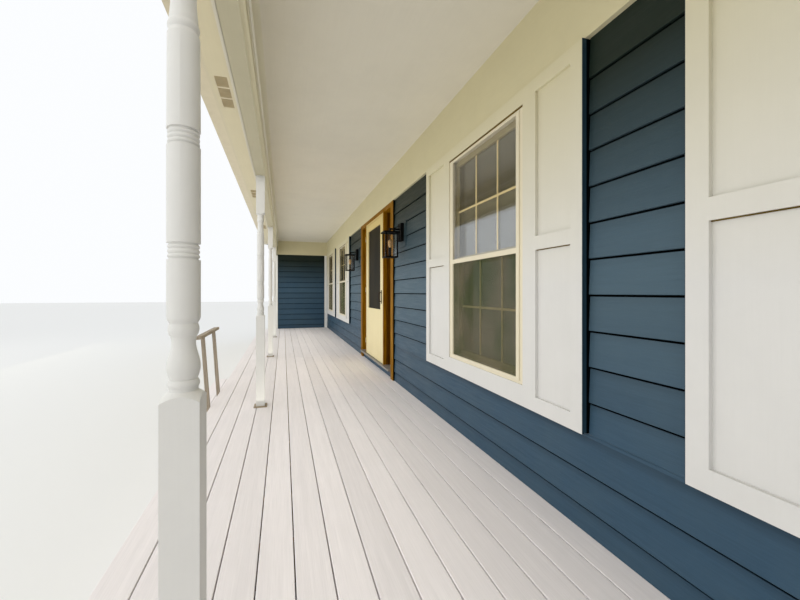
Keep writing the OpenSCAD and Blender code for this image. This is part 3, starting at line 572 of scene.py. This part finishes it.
# Lanterns
black_look = metal("lantern_metal", srgb(9, 9, 9), 0.6, depth=0.0004, wear=0.3, gloss=0.1)
bulb_look = plain("bulb_glass", srgb(214, 168, 108), 0.08, IOR=1.45, Coat_Weight=0.5).material
lantern_pane = plain("lantern_glass", srgb(236, 240, 240), 0.02, Metallic=1.0, Alpha=0.06)
lantern_pane.bump(lantern_pane.noise(0.1, detail=2), 0.0006)

# Nodes that stay in view. The others are replaced by pieces with a look of their own.
NODE_LOOKS = [
    (timber_look, ["deck_frame", "rafters", "roof_boarding"]),
    (concrete_look, ["deck_piers"]),
    (skirt_look, ["step_frame"]),
    (weathered_look, ["handrail"]),
    (post_look, [f"post_{number}" for number in range(1, len(POST_MIDS) + 1)]),
    (plate_look, ["post_base_plates"]),
    (beam_look, ["front_beam", "side_beam"]),
    (ceiling_look, ["porch_ceiling"]),
    (soffit_look, ["soffit"]),
    (fascia_look, ["fascia_boards"]),
    (gutter_look, ["gutter"]),
    (wall_look, ["house_wall_near", "house_wall_far", "house_wall_over_door", "house_wall_under_door"]),
    (outer_wall_look, ["end_wall", "gable_wall"]),
    (lit_corner_look, ["corner_boards"]),
    (frieze_look, ["frieze_board"]),
    (trim_look, ["window_casings", "window_side_panels"]),
    (storm_look, ["window_frames", "storm_windows"]),
    (sash_frame_shade_look, ["window_sashes"]),
    (pane.material, ["window_glass"]),
    (stain_look, ["entry_frame", "entry_side_panels"]),
    (door_look, ["door_frame", "front_door"]),
    (sill_look, ["door_threshold"]),
    (hinge_look, ["door_hinges"]),
    (door_shade_pane.material, ["door_glass"]),
    (handle_look, ["door_handle"]),
    (siding_look, ["lantern_blocks"]),
    (black_look, ["lantern_frames"]),
    (lantern_pane.material, ["lantern_glass"]),
]
for look, names in NODE_LOOKS:
    for name in names:
        NODES[name].data.materials.clear()
        NODES[name].data.materials.append(look)


# Deck

BOARD_GAP = 0.005
BOARD_EASE = 0.003


def rounded(y_lo, y_hi, z_lo, z_hi, ease):
    """Outline of a board with eased edges at z_hi."""
    corner = ease * 0.3
    return [
        (y_lo, z_lo),
        (y_hi, z_lo),
        (y_hi, z_hi - ease),
        (y_hi - corner, z_hi - corner),
        (y_hi - ease, z_hi),
        (y_lo + ease, z_hi),
        (y_lo + corner, z_hi - corner),
        (y_lo, z_hi - ease),
    ]


def deck_boards():
    """Boards along the porch, each with one butt joint."""
    pile = Pile("deck_boards")
    low, high = span("deck_floor")
    rows = 14
    width = (high.y - low.y + BOARD_GAP) / rows - BOARD_GAP
    break_x = 5.67
    half_joint = 0.0015
    for row in range(rows):
        y = low.y + row * (width + BOARD_GAP)
        outline = rounded(y, y + width, low.z, high.z, BOARD_EASE)
        pile.along_x(low.x, break_x - half_joint, outline)
        pile.along_x(break_x + half_joint, high.x, outline)
    pile.finish(deck_look, ["deck_floor"], smooth=False)


def step_boards():
    """Boards on the step."""
    pile = Pile("step_boards")
    low, high = span("step_tread")
    rows = 2
    width = (high.y - low.y - BOARD_GAP) / rows
    for row in range(rows):
        y = low.y + row * (width + BOARD_GAP)
        pile.along_x(low.x, high.x, rounded(y, y + width, low.z, high.z, BOARD_EASE))
    pile.finish(deck_look, ["step_tread"], smooth=False)


def skirt_courses():
    """Two courses of boards round the deck, down to the ground."""
    pile = Pile("skirt_courses")
    low, high = span("skirt_boards")
    courses = 2
    thick = 0.019
    half_joint = 0.001
    tall = (high.z - low.z - BOARD_GAP) / courses
    joints = [low.x, 3.8, 7.4, 11.0, high.x]
    for course in range(courses):
        z = low.z + course * (tall + BOARD_GAP)
        for x_lo, x_hi in zip(joints, joints[1:]):
            pile.box((x_lo + half_joint, low.y, z), (x_hi - half_joint, low.y + thick, z + tall))
        pile.box((high.x - thick, low.y + thick, z), (high.x, high.y, z + tall))
        pile.box((low.x, low.y + thick, z), (low.x + thick, BEAM_OUT, z + tall))
    pile.finish(skirt_look, ["skirt_boards"], bevel=0.0015)


# Siding

# Open joint over each lap board and beside the trim
JOINT = 0.0095

# Lap board: its thickness below and above, and the easing of its lower edge
BUTT = 0.014
TOP_T = 0.006
EASE = 0.002

# Black sheet behind the boards as painted shadow in the open joints, from and to these distances off the wall
BACK_IN = 0.0002
BACK_OUT = 0.0015

# Strips on the sides of the surrounds and of the entry's casing
SIDE_T = 0.0025


def board_out(z, row_z):
    """How far a lap board stands out at a height, thinner and thinner above its butt."""
    return BUTT + (TOP_T - BUTT) * (z - row_z) / (LAP - JOINT)


def lap_rows(z_lo, z_hi):
    """Outline (distance out, height) and tone of each board between two heights."""
    first = math.floor((z_lo - FIRST_LAP) / LAP) - 1
    last = math.ceil((z_hi - FIRST_LAP) / LAP)
    shortest = 0.05
    for row in range(first, last + 1):
        row_z = FIRST_LAP + row * LAP
        top = row_z + LAP - JOINT
        if z_hi - top < shortest:
            top = z_hi
        low = max(z_lo, row_z)
        high = min(z_hi, top)
        if high - low < (shortest if row_z > z_lo else EASE * 2):
            continue
        out = board_out(low, row_z)
        top_out = board_out(high, row_z)
        outline = [(0.0, low), (out - EASE, low), (out, low + EASE), (top_out, high), (0.0, high)]
        seed = row * 7 + 3
        yield outline, random.Random(seed).uniform(-1, 1)


def wall_siding(boards, shadow_backing, x_lo, x_hi, z_lo, z_hi, joint_lo=0.0, joint_hi=0.0):
    """Boards on the house wall, kept short of the pieces at their ends by open joints."""
    for outline, tone in lap_rows(z_lo, z_hi):
        boards.along_x(x_lo + joint_lo, x_hi - joint_hi, [(-out, z) for out, z in outline], tone)
    # Black sheet behind the boards: painted shadow in the open joints
    shadow_backing.box((x_lo, -BACK_OUT, z_lo), (x_hi, -BACK_IN, z_hi), 0.0)


def trim_sides():
    """Edges of the window surrounds, a darkened siding paint in front and black behind, and the entry
    casing's edges in black: painted shade on all of them.
    """
    pile = Pile("surround_sides")
    rear = Pile("surround_rear_shadow")
    entry = Pile("entry_casing_shadow")
    rear_y = -0.021
    inset = 0.0015
    entry_inset = 0.002
    for mid in WINDOW_MIDS:
        for edge, side in ((mid - UNIT_FAR, -SIDE_T), (mid + UNIT_NEAR, SIDE_T)):
            x_lo, x_hi = sorted((edge, edge + side))
            low_z = SURROUND_Z + inset
            pile.box((x_lo, inset - UNIT_T, low_z), (x_hi, rear_y, FRIEZE_Z), 0.0)
            rear.box((x_lo, rear_y, low_z), (x_hi, 0.0, FRIEZE_Z), 0.0)
    for edge, side in ((ENTRY_X - ENTRY_HALF, -SIDE_T), (ENTRY_X + ENTRY_HALF, SIDE_T)):
        x_lo, x_hi = sorted((edge, edge + side))
        entry.box((x_lo, entry_inset - TRIM_T, DECK_Z + entry_inset), (x_hi, 0.0, FRIEZE_Z), 0.0)
    pile.finish(side_shade_look)
    rear.finish(shadow_gap_look)
    entry.finish(shadow_gap_look)


def house_siding():
    """Siding between and under the windows and the entry, and beside the gable up to the roof."""
    boards = Pile("house_siding")
    shadow_backing = Pile("siding_shadow_backing")
    start = FACE_X + TRIM_T
    end = DECK_X - CORNER_W
    entry_lo = ENTRY_X - ENTRY_HALF
    entry_hi = ENTRY_X + ENTRY_HALF
    edge = start
    for mid in WINDOW_MIDS:
        left = mid - UNIT_FAR
        if edge < entry_lo < left:
            wall_siding(boards, shadow_backing, edge, entry_lo, SURROUND_Z, FRIEZE_Z, joint_lo=JOINT, joint_hi=JOINT)
            wall_siding(boards, shadow_backing, start, entry_lo, DECK_Z, SURROUND_Z, joint_hi=JOINT)
            edge = entry_hi
        joint_lo = JOINT if edge > start else 0.0
        wall_siding(boards, shadow_backing, edge, left, SURROUND_Z, FRIEZE_Z, joint_lo, joint_hi=JOINT)
        edge = mid + UNIT_NEAR
    wall_siding(boards, shadow_backing, edge, end, SURROUND_Z, FRIEZE_Z, joint_lo=JOINT)
    wall_siding(boards, shadow_backing, entry_hi, end, DECK_Z, SURROUND_Z, joint_lo=JOINT)
    wall_siding(boards, shadow_backing, GABLE_X, end, FRIEZE_Z, under_roof(0) - PANEL_T)
    boards.finish(siding_look)
    shadow_backing.finish(shadow_gap_look)


def end_siding():
    """Siding on the porch's side of the end wall."""
    boards = Pile("end_wall_siding")
    shadow_backing = Pile("end_wall_shadow_backing")
    y_lo = BEAM_OUT + CORNER_W
    y_hi = -CORNER_W
    for outline, tone in lap_rows(DECK_Z, FRIEZE_Z):
        boards.along_y(y_lo, y_hi, [(FACE_X + out, z) for out, z in outline], tone)
    # Black sheet behind the boards: painted shadow in the open joints
    shadow_backing.box((FACE_X + BACK_IN, y_lo, DECK_Z), (FACE_X + BACK_OUT, y_hi, FRIEZE_Z), 0.0)
    boards.finish(end_siding_look)
    shadow_backing.finish(shadow_gap_look)


def gable_siding():
    """Siding on the gable over the open end, cut along the slope of the roof."""
    boards = Pile("gable_siding")
    shadow_backing = Pile("gable_shadow_backing")
    low = under_roof(BEAM_IN)
    top = under_roof(0)

    def left_end(z):
        """Where a board starts under the roof's slope."""
        return min(0.0, max(BEAM_IN, BEAM_IN + (z - low) / SLOPE))

    for outline, tone in lap_rows(low, top):
        inner = [(GABLE_X + out, 0.0, z) for out, z in outline]
        outer = [(GABLE_X + out, left_end(z), z) for out, z in outline]
        boards.prism(outer, inner, tone)
    corners = [(BEAM_IN, low), (0.0, low), (0.0, top)]
    # Black sheet behind the boards: painted shadow in the open joints
    shadow_backing.along_x(GABLE_X + BACK_IN, GABLE_X + BACK_OUT, corners, 0.0)
    boards.finish(siding_look)
    shadow_backing.finish(shadow_gap_look)


# Roof


def shingles():
    """Courses of tabs from the eave up to the wall, each lifted over the head of the one before."""
    pile = Pile("shingle_courses")
    low, high = span("roof_shingles")
    course = 0.143
    tab = 0.305
    head_lap = 0.02
    half_gap = 0.001
    under_lift = 0.0005
    butt_lift = 0.004
    head_lift = 0.003
    butt_t = 0.0055
    spread = 0.0008
    length = (high.y - low.y) / math.cos(PITCH)
    top_z = under_roof(0) + RAFTER_V + SHEATHING_T / math.cos(PITCH)

    def point(x, up, lift):
        """Point some way up the roof and lifted square to it."""
        y = low.y + up * math.cos(PITCH)
        return (x, y - lift * math.sin(PITCH), top_z + y * SLOPE + lift * math.cos(PITCH))

    for row in range(math.ceil(length / course)):
        up = row * course
        end = min(up + course + head_lap, length)
        x = low.x
        shift = tab / 2 if row % 2 else 0.0
        while x < high.x - half_gap:
            next_x = min(high.x, x + (tab - shift if x == low.x else tab))
            x_lo = x + half_gap
            x_hi = next_x - half_gap
            butt = butt_lift + (butt_t + dice.uniform(-spread, spread))
            lower = [
                point(x_lo, up, under_lift),
                point(x_hi, up, under_lift),
                point(x_hi, end, under_lift),
                point(x_lo, end, under_lift),
            ]
            upper = [
                point(x_lo, up, butt),
                point(x_hi, up, butt),
                point(x_hi, end, head_lift),
                point(x_lo, end, head_lift),
            ]
            pile.prism(lower, upper)
            x = next_x
    pile.finish(shingle_look, ["roof_shingles"])


# Soffit vents


def vents():
    """Three meshed openings in a cream frame, in the soffit past each post."""
    frames = Pile("vent_grilles")
    meshes = Pile("vent_meshes")
    low, high = span("soffit_vents")
    past_post = 0.89
    length = 0.468
    bar = 0.017
    rim = 0.006
    mesh_t = 0.002
    fields = 3
    field = (length - bar * (fields - 1) - 2 * rim) / fields
    slots = 16
    half_strip = 0.0011
    drop = low.z - 0.0015
    y_lo = low.y + rim
    y_hi = high.y - rim
    for post in POST_MIDS[:-1]:
        x_lo = post + past_post - length / 2
        frames.box((x_lo, low.y, drop), (x_lo + length, y_lo, high.z), 0.0)
        frames.box((x_lo, y_hi, drop), (x_lo + length, high.y, high.z), 0.0)
        x = x_lo
        for k in range(fields + 1):
            wide = rim if k in (0, fields) else bar
            frames.box((x, y_lo, drop), (x + wide, y_hi, high.z), 0.0)
            x += wide
            if k == fields:
                break
            meshes.box((x, y_lo, low.z + mesh_t), (x + field, y_hi, high.z), -1.0)
            for s in range(1, slots):
                strip_x = x + field * s / slots
                strip_low = (strip_x - half_strip, y_lo, low.z)
                meshes.box(strip_low, (strip_x + half_strip, y_hi, low.z + mesh_t), 1.0)
            x += field
    frames.finish(vent_look, ["soffit_vents"], bevel=0.0006)
    meshes.finish(mesh_look)


# Windows

WINDOW_LOW = 0.941
WINDOW_H = 1.599
WINDOW_TOP = WINDOW_LOW + WINDOW_H
FRAME_T = 0.022
SASH_W = 0.042
MEETING_Z = WINDOW_LOW + WINDOW_H / 2 - 0.01

# Storm window: the height of its meeting bar, and the width of its frame at the sides and below
STORM_Z = MEETING_Z - 0.032
STORM_EDGE = 0.067
STORM_SILL = 0.034

# Lowest and highest point of the upper and the lower sash, and how far its face is behind the wall's
SASHES = [
    (MEETING_Z - SASH_W / 2, WINDOW_TOP - FRAME_T, 0.001),
    (WINDOW_LOW + FRAME_T, MEETING_Z + SASH_W / 2, 0.035),
]


def muntins():
    """Bars between the panes, and a dark sheet behind them as painted shade of the room."""
    pile = Pile("window_muntins")
    room = Pile("window_interior_shade")
    bar = 0.016
    depth = 0.006
    cross_inset = 0.0005
    pane_in = 0.013
    room_in = 0.02
    room_t = 0.003
    half = WINDOW_W / 2 - FRAME_T - SASH_W
    for mid in WINDOW_MIDS:
        for sash_low, sash_high, face in SASHES:
            low = sash_low + SASH_W
            high = sash_high - SASH_W
            y = face + pane_in - depth
            for k in (1, 2):
                x = mid - half + 2 * half * k / 3
                pile.box((x - bar / 2, y, low), (x + bar / 2, y + depth, high))
            z = (low + high) / 2
            cross_low = (mid - half, y + cross_inset, z - bar / 2)
            pile.box(cross_low, (mid + half, y + depth - cross_inset, z + bar / 2))
            room_y = face + room_in
            room.box((mid - half, room_y, low), (mid + half, room_y + room_t, high), 0.0)
    pile.finish(sash_shade_look, bevel=0.0015)
    room.finish(room_shade_look)


def screens():
    """Insect screen in the lower half of each storm window."""
    pile = Pile("window_screens")
    half = WINDOW_W / 2 - STORM_EDGE
    low = WINDOW_LOW + STORM_SILL
    y = -0.0335
    thick = 0.001
    for mid in WINDOW_MIDS:
        pile.box((mid - half, y, low), (mid + half, y + thick, STORM_Z))
    pile.finish(screen.material)


def trim_gaps():
    """Dark strips in raw-wood colour under the rails of the side panels and under the casing over each
    window, as painted shadow lines.
    """
    pile = Pile("trim_shadow_edges")
    half = WINDOW_W / 2
    inner = half + CASING_W
    rail_z = DECK_Z + 1.339
    rail_edge_t = 0.006
    rail_edge_h = 0.004
    panel_y = -UNIT_T + 0.016
    head_edge_y = -0.0405
    head_back_y = -0.038
    head_edge_h = 0.01
    for mid in WINDOW_MIDS:
        for x_lo, x_hi in ((mid - UNIT_FAR, mid - inner), (mid + inner, mid + UNIT_NEAR)):
            rail_low = (x_lo + STILE_W, panel_y - rail_edge_t, rail_z - rail_edge_h)
            pile.box(rail_low, (x_hi - STILE_W, panel_y, rail_z))
        head_low = (mid - half, head_edge_y, WINDOW_TOP - head_edge_h)
        pile.box(head_low, (mid + half, head_back_y, WINDOW_TOP))
    pile.finish(raw_edge_shadow_look)


# Crown moulding and boards


def crown():
    """Moulding under the ceiling: a board, a round bead over it, and a cove."""
    board = Pile("crown_board")
    bead = Pile("crown_bead")
    low, high = span("crown_moulding")
    board_t = 0.006
    board_y = low.y + board_t
    board_foot = 0.003
    board_z = 2.893
    bead_z = 2.915
    steps = 8
    cove = []
    for k in range(steps + 1):
        turn = math.pi / 2 * k / steps
        y = board_y + (high.y - low.y - board_t) * (1 - math.cos(turn))
        cove.append((y, bead_z + (high.z - bead_z) * math.sin(turn)))
    outline = [(low.y, low.z), (board_y, low.z + board_foot), (board_y, board_z)] + cove + [(low.y, high.z)]
    bead_mid = (board_z + bead_z) / 2
    radius = (bead_z - board_z) / 2
    round_edge = []
    for k in range(steps + 1):
        turn = math.pi * (k / steps - 0.5)
        round_edge.append((board_y + radius * math.cos(turn), bead_mid + radius * math.sin(turn)))
    half_joint = 0.0015
    joints = [low.x, 1.4, 3.8, 6.2, 8.53, 9.93, 12.3, high.x]
    for x_lo, x_hi in zip(joints, joints[1:]):
        board.along_x(x_lo, x_hi, outline, 0.0)
        bead.along_x(x_lo + half_joint, x_hi - half_joint, round_edge)
    board.finish(crown_look, ["crown_moulding"])
    bead.finish(bead_highlight_look)


def frieze_end():
    """Short piece of frieze on the end wall, where the crown moulding ends."""
    pile = Pile("frieze_end_piece")
    low, high = span("crown_moulding")
    top_z = high.z - 0.0005
    pile.box((FACE_X, low.y, FRIEZE_Z), (FACE_X + TRIM_T, high.y, top_z), 0.0)
    pile.finish(frieze_look)


def beam_board():
    """Flat boards on the outer side of the front beam, from the soffit down to a slightly flared foot."""
    pile = Pile("beam_outer_board")
    low, high = span("front_beam")
    thick = 0.012
    flare = 0.002
    half_joint = 0.0005
    outline = rounded(low.y - thick, low.y, span("soffit")[0].z, low.z, -flare)
    joints = [low.x, 3.9, 7.6, 11.3, high.x]
    for x_lo, x_hi in zip(joints, joints[1:]):
        pile.along_x(x_lo + half_joint, x_hi - half_joint, outline)
    pile.finish(outer_look, smooth=False)


# Entry


def jamb_grooves():
    """Upright grooves on the jambs of the entry, as dark stained bars."""
    pile = Pile("entry_jamb_grooves")
    half = 0.578
    thick = 0.004
    first_y = 0.006
    bars = 5
    width = 0.017
    step = 0.021
    low_z = 0.48
    high_z = 2.56
    for side in (-1, 1):
        x = ENTRY_X + side * half
        x_lo, x_hi = sorted((x, x + side * thick))
        for k in range(bars):
            y = first_y + k * step
            pile.box((x_lo, y, low_z), (x_hi, y + width, high_z))
    pile.finish(stain_dark_look, bevel=0.0015)


def door_moulding():
    """Stained moulding on the front and the sides of the door frame."""
    pile = Pile("entry_moulding")
    low, high = span("door_frame")
    wide = 0.027
    front_y = low.y - 0.004
    side_t = 0.0035
    side_y = 0.006
    for x in (low.x, high.x - wide):
        pile.box((x, front_y, low.z), (x + wide, low.y, high.z), 0.0)
    pile.box((low.x + wide, front_y, high.z - wide), (high.x - wide, low.y, high.z), 0.0)
    pile.box((low.x - side_t, front_y, low.z), (low.x, side_y, high.z), 0.0)
    pile.box((high.x, front_y, low.z), (high.x + side_t, side_y, high.z), 0.0)
    pile.finish(stain_look, bevel=0.0012)


def lantern_details():
    """Bulb with its socket and stem in each lantern, and two screw heads on its back plate."""
    bulbs = Pile("lantern_bulbs")
    sockets = Pile("lantern_sockets")
    knobs = Pile("lantern_screws")
    bulb = [
        (0.01, 0.0), (0.015, 0.01), (0.021, 0.026), (0.025, 0.045), (0.0255, 0.06), (0.0235, 0.074),
        (0.018, 0.086), (0.01, 0.093), (0.004, 0.096), (0.001, 0.0965),
    ]
    socket = [
        (0.022, 0.0), (0.022, 0.005), (0.0125, 0.008), (0.0125, 0.088), (0.0155, 0.09), (0.0155, 0.1),
        (0.009, 0.105),
    ]
    stem = [(0.0045, 0.0), (0.0045, 0.06)]
    from_entry = 1.375
    y = -0.165
    floor_z = span("lantern_glass")[0].z
    bulb_z = floor_z + 0.102
    stem_z = floor_z + 0.196
    plate_z = 2.165
    screw_gap = 0.07
    screw_r = 0.007
    screw_y = (-0.061, -0.055)
    turns = [2 * math.pi * k / 16 for k in range(16)]
    for side in (-1, 1):
        x = ENTRY_X + side * from_entry
        sockets.turned((x, y, floor_z), socket)
        bulbs.turned((x, y, bulb_z), bulb)
        sockets.turned((x, y, stem_z), stem)
        for screw_z in (plate_z - screw_gap, plate_z + screw_gap):
            ring = [(x + screw_r * math.cos(turn), screw_z + screw_r * math.sin(turn)) for turn in turns]
            knobs.along_y(*screw_y, ring, 0.0)
    bulbs.finish(bulb_look)
    sockets.finish(black_look)
    knobs.finish(black_look, bevel=0.0015)


# Screws

SCREW_STEPS = 12


def rail_screws():
    """Screw heads on top of the rail, over its posts."""
    pile = Pile("rail_screws")
    low, high = span("handrail")
    head = [(0.005, 0.0), (0.005, 0.0012), (0.0035, 0.0018), (0.001, 0.002)]
    mid_x = (low.x + high.x) / 2
    y = low.y + 0.028
    z = high.z - 0.003
    apart = 0.012
    for side in (-1, 1):
        for shift in (-apart, apart):
            x = mid_x + side * RAIL_POSTS / 2 + shift
            pile.turned((x, y, z), head, SCREW_STEPS)
    pile.finish(sill_look)


def plate_screws():
    """Screw heads at the corners of the posts' base plates."""
    pile = Pile("base_plate_screws")
    head = [(0.0065, 0.0), (0.0065, 0.0025), (0.004, 0.0042), (0.001, 0.0045)]
    z = span("post_base_plates")[1].z - 0.0005
    plate_half = 0.06
    inset = 0.012
    from_mid = plate_half - inset
    for mid in POST_MIDS:
        for sx in (-1, 1):
            for sy in (-1, 1):
                pile.turned((mid + sx * from_mid, POST_Y + sy * from_mid, z), head, SCREW_STEPS)
    pile.finish(sill_look)


deck_boards()
step_boards()
skirt_courses()
house_siding()
trim_sides()
end_siding()
gable_siding()
shingles()
vents()
muntins()
screens()
trim_gaps()
crown()
frieze_end()
beam_board()
jamb_grooves()
door_moulding()
lantern_details()
rail_screws()
plate_screws()


# Stage, light and camera


def stage():
    """Wide pale floor at the level of the ground."""
    look = plain("stage_floor", srgb(236, 236, 234), 0.9)
    mesh = bpy.data.meshes.new("stage_floor")
    reach = 60
    corners = [(-reach, -reach, 0), (reach, -reach, 0), (reach, reach, 0), (-reach, reach, 0)]
    mesh.from_pydata(corners, [], [[0, 1, 2, 3]])
    mesh.materials.append(look.material)
    floor = bpy.data.objects.new("stage_floor", mesh)
    bpy.context.scene.collection.objects.link(floor)


def world():
    """Plain, nearly white sky of strength 1."""
    sky = bpy.data.worlds.new("studio")
    bpy.context.scene.world = sky
    sky.use_nodes = True
    back = sky.node_tree.nodes["Background"]
    back.inputs["Color"].default_value = (0.97, 0.985, 1.0, 1.0)
    back.inputs["Strength"].default_value = 1.0


def lamp(name, place, target, size, watts, colour=(1.0, 0.99, 0.97)):
    """Soft lamp that lights the porch and is seen neither directly nor in reflections."""
    data = bpy.data.lights.new(name, "AREA")
    data.shape = "RECTANGLE"
    data.size, data.size_y = size
    data.energy = watts
    data.color = colour
    made = bpy.data.objects.new(name, data)
    made.location = place
    made.rotation_euler = (Vector(target) - Vector(place)).to_track_quat("-Z", "Y").to_euler()
    made.visible_camera = False
    made.visible_glossy = False
    bpy.context.scene.collection.objects.link(made)


def camera():
    """The photo's camera, on the deck and turned a little from the porch's length to the house."""
    data = bpy.data.cameras.new("photo_camera")
    data.lens = 17.1
    data.sensor_width = 36.0
    data.shift_y = -0.0095
    data.clip_start = 0.02
    data.clip_end = 200
    turned = 17.09
    made = bpy.data.objects.new("photo_camera", data)
    made.location = (5.025, -0.2771, 1.469)
    made.rotation_euler = (math.radians(90), 0.0, math.radians(90 - turned))
    bpy.context.scene.collection.objects.link(made)
    bpy.context.scene.camera = made


stage()
world()
lamp("yard_light", place=(0.0, -9.0, 4.5), target=(0.0, 0.8, 1.2), size=(16.0, 6.0), watts=86)
lamp(
    "lawn_light", place=(0.0, -5.5, 0.1), target=(0.0, -1.0, 3.4), size=(16.0, 4.0), watts=60,
    colour=(1.0, 0.95, 0.62),
)
lamp(
    "porch_light", place=(-1.9, -0.2, 0.42), target=(-1.9, -0.2, 3.0), size=(7.2, 0.8), watts=15,
    colour=(1.0, 0.97, 0.86),
)
lamp(
    "end_light", place=(9.2, -1.0, 3.8), target=(4.2, -0.6, 0.36), size=(2.0, 2.6), watts=42,
    colour=(1.0, 0.98, 0.96),
)
lamp("eave_light", place=(-0.4, -0.75, 2.8), target=(-0.4, -0.75, 0.0), size=(12.6, 1.0), watts=34)
lamp("deck_light", place=(-0.4, -0.1, 2.85), target=(-0.4, -0.1, 0.0), size=(12.6, 1.2), watts=13)
lamp("wall_light", place=(-0.4, -0.42, 1.3), target=(-0.4, 1.0, 1.3), size=(13.0, 1.4), watts=18)
camera()
bpy.context.scene.view_settings.view_transform = "Standard"
